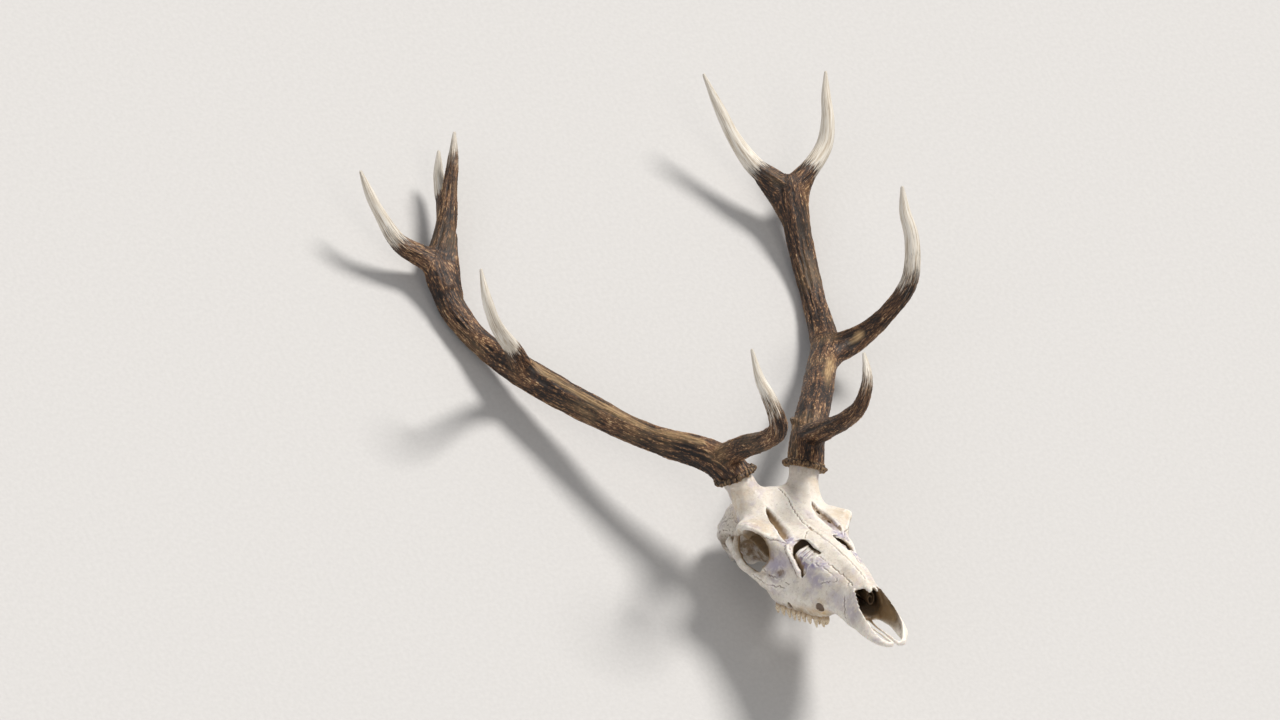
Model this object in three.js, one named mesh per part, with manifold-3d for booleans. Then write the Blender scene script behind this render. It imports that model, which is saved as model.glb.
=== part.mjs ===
// A red deer stag's skull with its antlers, life size, lying on the back of its head and on both beams.
// Units are millimetres. The skull is built in the animal's own frame: +X is its left side, +Y runs from
// the tip of the snout towards the back of the head, and +Z is up from the palate. The whole is then
// tipped back to where it comes to rest.
import * as THREE from "three";
import { mergeVertices } from "three/addons/utils/BufferGeometryUtils.js";
import Module from "manifold-3d";

const wasm = await Module();
wasm.setup();

// ---- Driving dimensions ----
const GAP = 0.3; // between bones that meet at a suture
const REST_TILT = THREE.MathUtils.degToRad(40.3); // how far the nose lifts when the antlers pull it back
const REST_ROLL = THREE.MathUtils.degToRad(0);
const BURR = new THREE.Vector3(54, 342, 166); // middle of the left coronet's underside
const PEDICLE_AXIS = new THREE.Vector3(0.33, 0.21, 0.92).normalize(); // of the left pedicle, at the coronet
const PEDICLE_RADIUS = 21;
const CORONET_RADIUS = 33;
const CORONET_HEIGHT = 9;
const SNOUT_END = 84; // where the premaxilla meets the upper jaw
const FACE_END = 222; // where the nasal bones meet the frontal bone
const FACE_SLANT = THREE.MathUtils.degToRad(23.6); // of that suture, from upright
const FRONTAL_END = 336; // where the frontal bone meets the braincase
const TOOTH_ROW_START = 127;
const TOOTH_LENGTHS = [12, 13, 13, 21, 25, 27]; // three premolars, then three molars
const TOOTH_TIP_Z = 0;
const ORBIT = { centre: [73, 263, 87], radii: [46, 24, 29] };
const NASAL_CAVITY = { centre: [0, 82, 44], radii: [17, 62, 23] };
const ETHMOID_GAP = { centre: [46, 192, 88], radii: [13, 24, 15] }; // the open gap before the orbit
const TEAR_PIT = { centre: [66, 214, 66], radii: [9, 15, 13] };
const FORAMEN_MAGNUM = { centre: [0, 398, 62], radii: [14, 34, 13] };

const BONE = new THREE.MeshStandardMaterial({ color: 0xe9e2d2, roughness: 0.6, metalness: 0 });
const ANTLER = new THREE.MeshStandardMaterial({ color: 0x5a4028, roughness: 0.65, metalness: 0 });
const TINE = new THREE.MeshStandardMaterial({ color: 0xb9a78c, roughness: 0.45, metalness: 0 });

// ---- Lines of the left half of the skull ----
// Each row is [distance behind the snout's tip, distance from the middle plane, height].
const DORSAL = [[60, 0, 68], [82, 0, 76], [100, 0, 84], [150, 0, 99], [200, 0, 109], [222, 0, 112],
  [250, 0, 117], [272, 0, 126], [295, 0, 142], [315, 0, 151], [332, 0, 151], [350, 0, 143],
  [370, 0, 129], [388, 0, 112], [396, 0, 96]];
const NASAL_EDGE = [[60, 7, 65], [74, 10, 67], [84, 17, 66], [100, 17, 74], [150, 20, 90], [185, 25, 99],
  [205, 21, 104], [222, 8, 110]];
const UPPER_SIDE = [[84, 22, 58], [120, 29, 72], [160, 36, 84], [200, 45, 92], [240, 62, 102]];
const MIDDLE_SIDE = [[84, 28, 42], [120, 38, 52], [160, 45, 56], [200, 53, 62], [240, 65, 76]];
const FACIAL_CREST = [[84, 31, 26], [120, 43, 34], [160, 53, 35], [195, 60, 36], [220, 65, 41], [246, 70, 53]];
const ALVEOLUS_OUTER = [[84, 29, 17], [108, 30, 22], [124, 36, 18], [160, 48, 13], [205, 53, 13],
  [240, 54, 18], [246, 46, 30]];
const ALVEOLUS_INNER = [[84, 20, 16], [108, 20, 23], [124, 25, 18], [160, 31, 15], [205, 35, 15],
  [240, 36, 20], [246, 30, 34]];
const PALATE = [[84, 0, 17], [104, 0, 24], [160, 0, 27], [215, 0, 29], [246, 0, 44]];

const BROW = [[224, 24, 109], [250, 32, 117], [272, 36, 124], [300, 36, 136], [318, 30, 147], [336, 28, 146]];
const ORBIT_RIM = [[224, 48, 104], [240, 64, 109], [255, 78, 116], [270, 84, 118], [288, 84, 115],
  [300, 72, 112], [318, 52, 108], [336, 48, 104]];
const ORBIT_WALL = [[224, 50, 84], [240, 60, 80], [270, 62, 82], [300, 50, 84], [318, 43, 88], [336, 48, 88]];
const SKULL_BASE = [[224, 20, 58], [260, 16, 56], [300, 18, 50], [336, 26, 48]];
const KEEL = [[224, 0, 50], [260, 0, 52], [300, 0, 48], [336, 0, 46], [370, 0, 45], [384, 0, 50], [396, 0, 58]];

const CRANIUM_TOP = [[336, 28, 143], [352, 32, 137], [371, 30, 128], [388, 26, 112], [396, 22, 94]];
const CRANIUM_SIDE = [[336, 44, 120], [352, 50, 121], [371, 50, 118], [386, 43, 106], [396, 32, 88]];
const CRANIUM_FLANK = [[336, 52, 100], [352, 56, 102], [374, 58, 100], [388, 49, 92], [396, 38, 80]];
const MASTOID = [[336, 50, 86], [352, 56, 84], [374, 63, 80], [388, 54, 74], [396, 38, 70]];
const CRANIUM_BASE = [[336, 42, 60], [352, 44, 54], [374, 42, 48], [388, 34, 50], [396, 22, 60]];

const SNOUT_UPPER = [[2, 11, 7], [12, 18, 13], [28, 24, 27], [54, 25, 45], [74, 20, 61], [84, 18, 66]];
const SNOUT_OUTER = [[2, 12, 5], [12, 23, 9], [28, 31, 18], [54, 31, 28], [84, 29, 42]];
const SNOUT_LOWER = [[2, 11, 0], [12, 23, 2], [28, 32, 9], [54, 31, 13], [84, 29, 17]];
const SNOUT_INNER = [[2, 2, 0], [12, 14, 4], [28, 16, 9], [54, 20, 14], [84, 20, 17]];
const SNOUT_HOLLOW = [[2, 4, 5], [12, 15, 9], [28, 23, 18], [54, 26, 29], [84, 25, 40]];

// ---- Rods of bone ----
// Each row is [distance from the middle plane, distance behind the snout's tip, height, radius].
const PEDICLE = [[38, 308, 104, 27], [41, 318, 126, 23.5], [45, 329, 144, 21.5], [50, 337, 157, PEDICLE_RADIUS],
  [54, 342, 166, PEDICLE_RADIUS]];
const POSTORBITAL_BAR = [[78, 286, 112, 7], [81, 292, 100, 6], [81, 294, 88, 5.5]];
const CHEEKBONE = [[64, 230, 44, 12], [71, 247, 49, 8], [75, 263, 55, 5.5], [78, 280, 61, 5.5], [77, 300, 71, 6],
  [73, 312, 73, 6.5], [67, 332, 75, 7], [62, 350, 76, 8]];
const CHEEK_BRANCH = [[78, 292, 66, 6], [80, 294, 78, 5.5], [81, 294, 88 - GAP, 5.5]];
const JUGULAR_PROCESS = [[42, 370, 60, 10], [42, 372, 52, 7], [40, 372, 45, 4]];
const PALATINE_PROCESS = [[4.5, 5, 5, 3.5], [4, 30, 10, 2.5], [4, 60, 14, 2.5], [6, 82, 19, 2.5]];

// ---- Antlers: paths from the middle of the coronet's underside ----
// Each row is [outwards, backwards, up, radius]. The two antlers of a stag are never quite alike.
const BEAM = {
  left: [[0, 0, 0, 25], [20, 25, 38, 24], [77, 101, 69, 22], [134, 186, 82, 22], [182, 265, 97, 23],
    [214, 338, 136, 17], [226, 390, 186, 17.5], [231, 426, 245, 19], [233, 446, 286, 19], [234, 454, 302, 9]],
  right: [[0, 0, 0, 25], [19, 23, 24, 24], [80, 99, 46, 17], [134, 184, 77, 20.5], [185, 268, 115, 21.5],
    [215, 341, 148, 16.5], [228, 390, 184, 18.5], [231, 422, 222, 20], [233, 440, 248, 19], [234, 448, 262, 9]],
};
const BEAM_SPLIT = 4.5; // just past the trez fork, counted in rows
const BROW_TINE = {
  left: [[14, 14, 42, 17], [11, -39, 64, 14], [9, -94, 89, 11], [14, -128, 118, 9.5], [23, -128, 145, 7.5],
    [29, -117, 162, 5.5], [33, -102, 182, 1.2]],
  right: [[14, 16, 28, 17], [10, -42, 56, 15], [8, -97, 77, 13], [10, -132, 103, 12], [23, -128, 144, 9],
    [30, -115, 168, 6.5], [33, -97, 206, 1.2]],
};
const TREZ_TINE = {
  left: [[176, 262, 94, 18], [213, 240, 105, 16], [249, 209, 142, 12], [279, 188, 193, 11.5], [288, 193, 251, 10],
    [286, 206, 290, 7.5], [282, 215, 322, 1.2]],
  right: [[184, 268, 118, 15], [216, 245, 158, 11.5], [249, 215, 188, 9.5], [273, 193, 215, 8],
    [284, 192, 245, 6.5], [284, 209, 282, 1.2]],
};
const OUTER_TINE = {
  left: [[233, 444, 282, 17], [268, 452, 300, 13.5], [300, 460, 331, 11.5], [312, 467, 366, 9],
    [319, 478, 396, 6.5], [320, 492, 428, 1.2]],
  right: [[232, 438, 244, 17], [278, 450, 269, 12], [305, 462, 315, 8], [314, 472, 340, 6.5], [321, 486, 368, 1.2]],
};
const INNER_TINE = {
  left: [[233, 444, 282, 17], [197, 473, 307, 13.5], [175, 498, 347, 9.5], [160, 518, 391, 7],
    [146, 536, 434, 1.2]],
  right: [[232, 438, 244, 17], [196, 467, 283, 14.5], [174, 496, 329, 10], [158, 516, 366, 6.5],
    [147, 531, 395, 1.2]],
};
const BACK_TINE = [[186, 485, 300, 9], [178, 516, 318, 8.5], [168, 540, 341, 6.5], [161, 551, 366, 1.2]];
const NUB = [[26, 40, 44, 9], [14, 44, 52, 7], [6, 46, 62, 1.5]];

// ---- Helpers ----
// A smooth function of distance along the skull through the rows of a line.
function along(rows) {
  const slope = (i, k) => {
    const a = rows[Math.max(i - 1, 0)];
    const b = rows[Math.min(i + 1, rows.length - 1)];
    return (b[k] - a[k]) / (b[0] - a[0]);
  };
  return (s) => {
    let i = 0;
    while (i < rows.length - 2 && s > rows[i + 1][0]) i += 1;
    const [a, b] = [rows[i], rows[i + 1]];
    const step = b[0] - a[0];
    const t = THREE.MathUtils.clamp((s - a[0]) / step, 0, 1);
    const [t2, t3] = [t * t, t * t * t];
    const value = (k) => (2 * t3 - 3 * t2 + 1) * a[k] + (t3 - 2 * t2 + t) * step * slope(i, k)
      + (3 * t2 - 2 * t3) * b[k] + (t3 - t2) * step * slope(i + 1, k);
    return new THREE.Vector3(value(1), s, value(2));
  };
}

// A closed solid from rings of points, each ring in the same order, with a flat or pointed end each way.
function ringSolid(rings) {
  const n = rings[0].length;
  const points = rings.flat();
  const middle = (ring) => ring.reduce((sum, p) => sum.add(p), new THREE.Vector3()).divideScalar(n);
  points.push(middle(rings[0]), middle(rings.at(-1)));
  const [first, last] = [points.length - 2, points.length - 1];
  const faces = [];
  for (let j = 0; j < n; j += 1) {
    const k = (j + 1) % n;
    faces.push([first, k, j]);
    for (let i = 0; i < rings.length - 1; i += 1) {
      const [a, b] = [i * n, (i + 1) * n];
      faces.push([a + j, a + k, b + k], [a + j, b + k, b + j]);
    }
    const end = (rings.length - 1) * n;
    faces.push([last, end + j, end + k]);
  }
  const volume = faces.reduce((sum, [a, b, c]) => sum
    + points[a].dot(new THREE.Vector3().crossVectors(points[b], points[c])), 0);
  const outward = volume < 0 ? faces.map(([a, b, c]) => [a, c, b]) : faces;
  return new wasm.Manifold(new wasm.Mesh({
    numProp: 3,
    vertProperties: new Float32Array(points.flatMap((p) => p.toArray())),
    triVerts: new Uint32Array(outward.flat()),
  }));
}

// The solid form of a three.js geometry.
function solidOf(geometry) {
  geometry.deleteAttribute("normal");
  geometry.deleteAttribute("uv");
  const merged = mergeVertices(geometry, 1e-4);
  return new wasm.Manifold(new wasm.Mesh({
    numProp: 3,
    vertProperties: new Float32Array(merged.attributes.position.array),
    triVerts: new Uint32Array(merged.index.array),
  }));
}

function meshOf(name, solid, material) {
  const made = solid.getMesh();
  const geometry = new THREE.BufferGeometry();
  geometry.setAttribute("position", new THREE.BufferAttribute(made.vertProperties, 3));
  geometry.setIndex(new THREE.BufferAttribute(made.triVerts, 1));
  geometry.computeVertexNormals();
  const mesh = new THREE.Mesh(geometry, material);
  mesh.name = name;
  return mesh;
}

const evenly = (from, to, steps) => Array.from({ length: steps + 1 }, (_, i) => from + ((to - from) * i) / steps);

// A bone lofted through lines, in order round its section. side is 1 for left, -1 for right, 0 for both.
function loft(lines, from, to, steps, side) {
  const curves = lines.map(along);
  return ringSolid(evenly(from, to, steps).map((s) => {
    const half = curves.map((curve) => curve(s));
    if (side === 0) {
      const other = half.slice(1, -1).reverse().map((p) => new THREE.Vector3(-p.x, p.y, p.z));
      return [...half, ...other];
    }
    return half.map((p) => new THREE.Vector3(side * Math.max(p.x, GAP / 2), p.y, p.z));
  }));
}

// A tapering limb along a smooth path. Rows are [x, y, z, radius]; from and to count rows, so that one path
// can be parted, with half a gap left at each cut; grow thickens the limb, to make room for it in another.
function limb(rows, side, { sides = 10, perRow = 2, grow = 0, from = 0, to = rows.length - 1 } = {}) {
  const path = new THREE.CatmullRomCurve3(
    rows.map(([x, y, z]) => new THREE.Vector3(side * x, y, z)), false, "centripetal");
  const radius = along(rows.map((row, i) => [i, row[3], 0]));
  let across = new THREE.Vector3(0, 0, 1);
  return ringSolid(evenly(from, to, Math.round((to - from) * perRow)).map((place) => {
    const tangent = path.getTangent(place / (rows.length - 1));
    const centre = path.getPoint(place / (rows.length - 1));
    if (grow === 0 && place === from && from > 0) centre.addScaledVector(tangent, GAP / 2);
    if (grow === 0 && place === to && to < rows.length - 1) centre.addScaledVector(tangent, -GAP / 2);
    across = across.clone().addScaledVector(tangent, -across.dot(tangent)).normalize();
    const upright = new THREE.Vector3().crossVectors(tangent, across);
    return Array.from({ length: sides }, (_, j) => {
      const angle = (2 * Math.PI * j) / sides;
      return centre.clone()
        .addScaledVector(across, (radius(place).x + grow) * Math.cos(angle))
        .addScaledVector(upright, (radius(place).x + grow) * Math.sin(angle));
    });
  }));
}

function ellipsoid([x, y, z], radii, side = 1) {
  return solidOf(new THREE.SphereGeometry(1, 12, 8).scale(...radii).translate(side * x, y, z));
}

const block = (low, high) => solidOf(new THREE.BoxGeometry(...high.map((h, i) => h - low[i]))
  .translate(...high.map((h, i) => (h + low[i]) / 2)));

// ---- Bones ----
// A cheek tooth: a crown with two crescent cusps, widest at the gum.
function tooth(start, length, side) {
  const x = along(ALVEOLUS_OUTER)(start + length / 2).x;
  const gum = 22;
  const outline = new THREE.Shape([[0, gum], [0.5, 3], [length * 0.25, TOOTH_TIP_Z], [length * 0.5, 3.5],
    [length * 0.75, TOOTH_TIP_Z], [length - 0.5, 3], [length, gum]].map(([s, z]) => new THREE.Vector2(start + s, z)));
  const width = 13;
  const crown = new THREE.ExtrudeGeometry(outline, { depth: width, bevelEnabled: false, steps: 1 });
  crown.applyMatrix4(new THREE.Matrix4().makeBasis(
    new THREE.Vector3(0, 1, 0), new THREE.Vector3(0, 0, 1), new THREE.Vector3(1, 0, 0)));
  crown.translate(side > 0 ? x - width : -x, 0, 0);
  return solidOf(crown);
}

function upperJaw(side) {
  let bone = loft([DORSAL.map(([s, x, z]) => [s, x, z - 4]), NASAL_EDGE, UPPER_SIDE, MIDDLE_SIDE, FACIAL_CREST,
    ALVEOLUS_OUTER, ALVEOLUS_INNER, PALATE], SNOUT_END + GAP, 246, 14, side)
    .subtract(nasal(side, GAP))
    .subtract(ellipsoid(NASAL_CAVITY.centre, NASAL_CAVITY.radii))
    .subtract(ellipsoid(ETHMOID_GAP.centre, ETHMOID_GAP.radii, side))
    .subtract(ellipsoid(TEAR_PIT.centre, TEAR_PIT.radii, side))
    .subtract(cheekbone(side, GAP))
    .subtract(behindFace(-GAP));
  let start = TOOTH_ROW_START;
  for (const length of TOOTH_LENGTHS) {
    bone = bone.add(tooth(start, length - 0.6, side));
    start += length;
  }
  return bone;
}

// One of the pair of long plates that roof the nose; grow thickens it, to make room for it.
function nasal(side, grow) {
  const shift = (rows, out, up) => rows.map(([s, x, z]) => [s, x + out, z + up]);
  return loft([shift(DORSAL, 0, grow), shift(NASAL_EDGE, grow, grow), shift(NASAL_EDGE, grow, -3 - grow),
    shift(DORSAL, 0, -4 - grow)], 66 - grow, FACE_END - 1 + grow, 12, side);
}

// All that lies behind the slanting suture between the face and the frontal bone.
function behindFace(lift) {
  const size = 400;
  return solidOf(new THREE.BoxGeometry(size, size, size).translate(0, size / 2 + lift, 0)
    .rotateX(FACE_SLANT).translate(0, FACE_END, 112));
}

function premaxilla(side) {
  return loft([SNOUT_UPPER, SNOUT_OUTER, SNOUT_LOWER, SNOUT_INNER, SNOUT_HOLLOW], 2, SNOUT_END, 12, side)
    .add(limb(PALATINE_PROCESS, side, { sides: 6 }));
}

// The bony stalk under an antler, without what lies deep in the braincase.
function pedicle(side, grow) {
  return limb(PEDICLE, side, { grow })
    .subtract(aboveCoronet(side, 0))
    .subtract(block([-200, FRONTAL_END, -100], [200, 500, 112]));
}

function frontal() {
  let bone = loft([DORSAL, BROW, ORBIT_RIM, ORBIT_WALL, SKULL_BASE, KEEL], FACE_END, FRONTAL_END, 12, 0)
    .intersect(behindFace(0));
  for (const side of [1, -1]) {
    bone = bone.subtract(ellipsoid(ORBIT.centre, ORBIT.radii, side));
    bone = bone.add(pedicle(side, 0)).add(limb(POSTORBITAL_BAR, side, { sides: 8 }));
    bone = bone.subtract(cheekbone(side, GAP));
  }
  return bone;
}

function cheekbone(side, grow) {
  return limb(CHEEKBONE, side, { sides: 8, grow }).add(limb(CHEEK_BRANCH, side, { sides: 8, grow }));
}

function braincase() {
  let bone = loft([DORSAL, CRANIUM_TOP, CRANIUM_SIDE, CRANIUM_FLANK, MASTOID, CRANIUM_BASE, KEEL], FRONTAL_END + GAP, 396, 8, 0);
  for (const side of [1, -1]) {
    bone = bone.subtract(pedicle(side, GAP));
    bone = bone.add(ellipsoid([24, 386, 52], [11, 14, 16], side));
    bone = bone.add(limb(JUGULAR_PROCESS, side, { sides: 8 }));
  }
  return bone.subtract(ellipsoid(FORAMEN_MAGNUM.centre, FORAMEN_MAGNUM.radii));
}

// ---- Antlers ----
const axisOf = (side) => new THREE.Vector3(side * PEDICLE_AXIS.x, PEDICLE_AXIS.y, PEDICLE_AXIS.z);

// A large block whose underside lies on the coronet's underside, raised by lift.
function aboveCoronet(side, lift) {
  const centre = new THREE.Vector3(side * BURR.x, BURR.y, BURR.z);
  const size = 1200;
  const turn = new THREE.Quaternion().setFromUnitVectors(new THREE.Vector3(0, 0, 1), axisOf(side));
  return solidOf(new THREE.BoxGeometry(size, size, size).translate(0, 0, size / 2 + lift)
    .applyQuaternion(turn).translate(...centre));
}

// The beaded ring at an antler's foot, joined to the beam.
function coronet(side) {
  const r = CORONET_RADIUS;
  const h = CORONET_HEIGHT;
  const profile = [[0, GAP], [r - 3, GAP], [r, h * 0.3], [r, h * 0.65], [r - 3, h], [r - 8, h + 2], [0, h + 2]];
  const turn = new THREE.Quaternion().setFromUnitVectors(new THREE.Vector3(0, 1, 0), axisOf(side));
  return solidOf(new THREE.LatheGeometry(profile.map(([x, y]) => new THREE.Vector2(x, y)), 20).applyQuaternion(turn));
}

function antler(name, side) {
  const group = new THREE.Group();
  group.position.set(side * BURR.x, BURR.y, BURR.z);
  const beam = BEAM[name];
  const foot = aboveCoronet(side, GAP).translate([-side * BURR.x, -BURR.y, -BURR.z]);
  const room = limb(beam, side, { grow: GAP, to: BEAM_SPLIT }).add(limb(beam, side, { grow: GAP, from: BEAM_SPLIT }));
  let lower = limb(beam, side, { to: BEAM_SPLIT }).intersect(foot).add(coronet(side));
  if (name === "left") lower = lower.add(limb(NUB, side, { sides: 8 }));
  const outer = limb(OUTER_TINE[name], side).subtract(room);
  const outerRoom = limb(OUTER_TINE[name], side, { grow: GAP });
  let inner = limb(INNER_TINE[name], side).subtract(room).subtract(outerRoom);
  const pieces = {
    lower_beam: lower,
    upper_beam: limb(beam, side, { from: BEAM_SPLIT }),
    brow_tine: limb(BROW_TINE[name], side).subtract(room),
    trez_tine: limb(TREZ_TINE[name], side).subtract(room),
    outer_top_tine: outer,
    inner_top_tine: inner,
  };
  if (name === "right") {
    const innerRoom = limb(INNER_TINE[name], side, { grow: GAP });
    pieces.back_top_tine = limb(BACK_TINE, side, { sides: 10 }).subtract(innerRoom);
  }
  for (const [piece, solid] of Object.entries(pieces)) {
    group.add(meshOf(`antler_${name}_${piece}`, solid, piece.endsWith("beam") ? ANTLER : TINE));
  }
  return group;
}

// ---- The whole, standing as it rests ----
const head = new THREE.Group();
head.add(meshOf("frontal_bone", frontal(), BONE));
head.add(meshOf("braincase", braincase(), BONE));
for (const [name, side] of [["left", 1], ["right", -1]]) {
  head.add(meshOf(`upper_jaw_${name}`, upperJaw(side), BONE));
  head.add(meshOf(`nasal_bone_${name}`, nasal(side, 0), BONE));
  head.add(meshOf(`premaxilla_${name}`, premaxilla(side), BONE));
  head.add(meshOf(`cheekbone_${name}`, cheekbone(side, 0), BONE));
  head.add(antler(name, side));
}
head.rotation.set(-REST_TILT, REST_ROLL, 0);

const skull = new THREE.Group();
skull.add(head);
skull.updateMatrixWorld(true);
const bounds = new THREE.Box3().setFromObject(skull, true);
const middle = bounds.getCenter(new THREE.Vector3());
head.position.set(-middle.x, -middle.y, -bounds.min.z);
export default skull;
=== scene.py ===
# %% [markdown]
# Brown and grey shade is painted into its hollows and eye sockets, and some crests and ridges get painted
# highlights.
# # A red deer stag's skull with its antlers
#
# The skull is a dry one: bleached bone, thin enough in places to let light in, with brown stains where dirt
# has settled, and two antlers that are dark and grooved below and rubbed to ivory at their tips. It lies as
# such a skull lies on a table, on the back of the head and on both beams, with the nose in the air.
#
# The measured model comes first. It's a set of plain solids, and the detailed pieces take their place.

# %% Load the measured model
import math

import bpy
import numpy as np
from mathutils import Matrix, Vector, noise
from mathutils.bvhtree import BVHTree


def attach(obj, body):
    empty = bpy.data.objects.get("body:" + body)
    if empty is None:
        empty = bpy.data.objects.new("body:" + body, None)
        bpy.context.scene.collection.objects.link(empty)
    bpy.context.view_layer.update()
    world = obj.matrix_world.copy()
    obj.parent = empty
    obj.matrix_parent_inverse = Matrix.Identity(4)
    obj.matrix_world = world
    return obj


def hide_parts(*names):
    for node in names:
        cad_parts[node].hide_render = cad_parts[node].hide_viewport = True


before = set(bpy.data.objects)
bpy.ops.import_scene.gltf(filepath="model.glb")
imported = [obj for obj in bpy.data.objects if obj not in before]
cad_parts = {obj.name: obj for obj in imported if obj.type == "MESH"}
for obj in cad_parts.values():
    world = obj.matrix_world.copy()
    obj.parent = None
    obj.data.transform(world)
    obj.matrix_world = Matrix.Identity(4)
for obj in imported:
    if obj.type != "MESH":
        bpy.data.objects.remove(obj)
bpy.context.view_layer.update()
MM = 0.001
SIDES = {"left": 1, "right": -1}

# %% [markdown]
# ## The head's own frame
#
# A skull is easiest to shape in the animal's own directions: x to its left, s backwards from the tip of the
# snout, and z up from the palate, all in millimetres. The skull rests tipped back, so this step finds how the
# head's frame sits in the model. The two premaxillae start 2 mm behind the snout's tip and touch height 0, so
# turning their corners upright again gives the place.

# %% Find the head's frame
REST_TILT = math.radians(40.3)
SNOUT_FRONT = 2.0


def node_points(name):
    """The corners of a CAD node, in millimetres."""
    points = np.empty(len(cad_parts[name].data.vertices) * 3)
    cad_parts[name].data.vertices.foreach_get("co", points)
    return points.reshape(-1, 3) / MM


tilt = np.array(Matrix.Rotation(-REST_TILT, 3, "X"))
snout = np.vstack([node_points("premaxilla_left"), node_points("premaxilla_right")]) @ tilt
low, high = snout.min(0), snout.max(0)
head_place = tilt @ np.array([(low[0] + high[0]) / 2, low[1] - SNOUT_FRONT, low[2]])
print("the head's frame sits at", np.round(head_place, 2), "mm")


def in_part(points):
    """Points of the head's frame, in millimetres, as points of the model's frame, in metres."""
    return (np.asarray(points, float) @ tilt.T + head_place) * MM


# %% [markdown]
# ## Camera
#
# A long lens from far away keeps the antlers' near and far sides the same size. Where the camera stands is
# named in the head's frame: in front and to the animal's right, a little above it.

# %% Place the camera
VIEW_AZIMUTH = math.radians(-29.65)
VIEW_ELEVATION = math.radians(13.66)
VIEW_ROLL = math.radians(0.2)
VIEW_AIM = (-180.7, 386.6, 338.1)
VIEW_DISTANCE = 19100
LENS = 393.8


def view_axes(azimuth, elevation, roll):
    """The camera's right, up and back, as columns in the head's frame."""
    back = np.array([math.sin(azimuth) * math.cos(elevation), -math.cos(azimuth) * math.cos(elevation),
                     math.sin(elevation)])
    right = np.array([math.cos(azimuth), math.sin(azimuth), 0.0])
    up = np.cross(back, right)
    return np.column_stack([math.cos(roll) * right + math.sin(roll) * up,
                            math.cos(roll) * up - math.sin(roll) * right, back])


axes = view_axes(VIEW_AZIMUTH, VIEW_ELEVATION, VIEW_ROLL)
camera_data = bpy.data.cameras.new("camera")
camera_data.lens = LENS
camera_data.sensor_width = 36
camera_data.sensor_fit = "HORIZONTAL"
camera_data.clip_end = 100
camera = bpy.data.objects.new("camera", camera_data)
bpy.context.scene.collection.objects.link(camera)
camera_place = in_part(np.array(VIEW_AIM) + VIEW_DISTANCE * axes[:, 2])
camera_turn = Matrix((tilt @ axes).tolist()).to_quaternion()
camera.matrix_world = Matrix.LocRotScale(Vector(camera_place), camera_turn, None)
bpy.context.scene.camera = camera
print("camera at", np.round(camera_place, 2), "m")

# %% [markdown]
# ## Lines, rings and rods
#
# No primitive looks like a bone. A bone is skinned over rings instead: named lines run along it, such as the
# brow or the row of tooth sockets, and a ring is drawn through them at each step, as a boat is planked over
# its frames. A rod is a ring carried along a bent path. Both are smooth curves through few points, so moving
# one number moves a whole stretch of bone.


# %% Curves through points
def line(rows):
    """Rows of [s, ...] as a smooth function of s."""
    rows = np.array(rows, float)
    s, value = rows[:, 0], rows[:, 1:]
    before = np.maximum(np.arange(len(s)) - 1, 0)
    after = np.minimum(np.arange(len(s)) + 1, len(s) - 1)
    slope = (value[after] - value[before]) / (s[after] - s[before])[:, None]

    def at(t):
        t = np.asarray(t, float)
        i = np.clip(np.searchsorted(s, t, side="right") - 1, 0, len(s) - 2)
        step = (s[i + 1] - s[i])[..., None]
        u = np.clip((t - s[i])[..., None] / step, 0, 1)
        return ((2 * u**3 - 3 * u**2 + 1) * value[i] + (u**3 - 2 * u**2 + u) * step * slope[i]
                + (3 * u**2 - 2 * u**3) * value[i + 1] + (u**3 - u**2) * step * slope[i + 1])

    return at


def through(points, steps, closed=False):
    """A smooth curve through points, with steps places from each point to the next."""
    p = np.array(points, float)
    if closed:
        p = np.vstack([p[-1:], p, p[:2]])
    else:
        p = np.vstack([2 * p[:1] - p[1:2], p, 2 * p[-1:] - p[-2:-1]])
    u = (np.arange(steps) / steps)[:, None]
    curve = []
    for a, b, c, d in zip(p[:-3], p[1:-2], p[2:-1], p[3:]):
        ab, bc, cd = (max(np.linalg.norm(q - r), 1e-6) ** 0.5 for q, r in ((b, a), (c, b), (d, c)))
        start = bc * ((b - a) / ab - (c - a) / (ab + bc) + (c - b) / bc)
        end = bc * ((c - b) / bc - (d - b) / (bc + cd) + (d - c) / cd)
        curve.append((2 * u**3 - 3 * u**2 + 1) * b + (u**3 - 2 * u**2 + u) * start
                     + (3 * u**2 - 2 * u**3) * c + (u**3 - u**2) * end)
    return np.vstack(curve if closed else curve + [p[-2:-1]])


# %% Skin over rings
def skin(name, rings):
    """A closed mesh over rings of points that all hold the same number, capped at both ends."""
    n = len(rings[0])
    faces = [[i * n + j, i * n + (j + 1) % n, (i + 1) * n + (j + 1) % n, (i + 1) * n + j]
             for i in range(len(rings) - 1) for j in range(n)]
    faces.append(list(range(n))[::-1])
    faces.append([(len(rings) - 1) * n + j for j in range(n)])
    mesh = bpy.data.meshes.new(name)
    mesh.from_pydata(np.vstack(rings).tolist(), [], faces)
    piece = bpy.data.objects.new(name, mesh)
    bpy.context.scene.collection.objects.link(piece)
    only(piece)
    bpy.ops.object.mode_set(mode="EDIT")
    bpy.ops.mesh.select_all(action="SELECT")
    bpy.ops.mesh.normals_make_consistent(inside=False)
    bpy.ops.object.mode_set(mode="OBJECT")
    return piece


def only(*pieces):
    """Selects these pieces and nothing else; the first is active."""
    bpy.ops.object.select_all(action="DESELECT")
    for piece in pieces:
        piece.select_set(True)
    bpy.context.view_layer.objects.active = pieces[0]


def loft(name, lines, start, end, step=2.5, fine=6):
    """A bone across the middle plane; its lines run from the top, round the left side, to the bottom."""
    curves = [line(rows) for rows in lines]
    rings = []
    for s in np.linspace(start, end, max(int((end - start) / step), 2) + 1):
        half = np.array([[*curve(s)] for curve in curves])
        half = np.column_stack([half[:, 0], np.full(len(half), s), half[:, 1]])
        other = half[1:-1][::-1] * [-1, 1, 1]
        rings.append(through(np.vstack([half, other]), fine, closed=True))
    return skin(name, rings)


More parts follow.
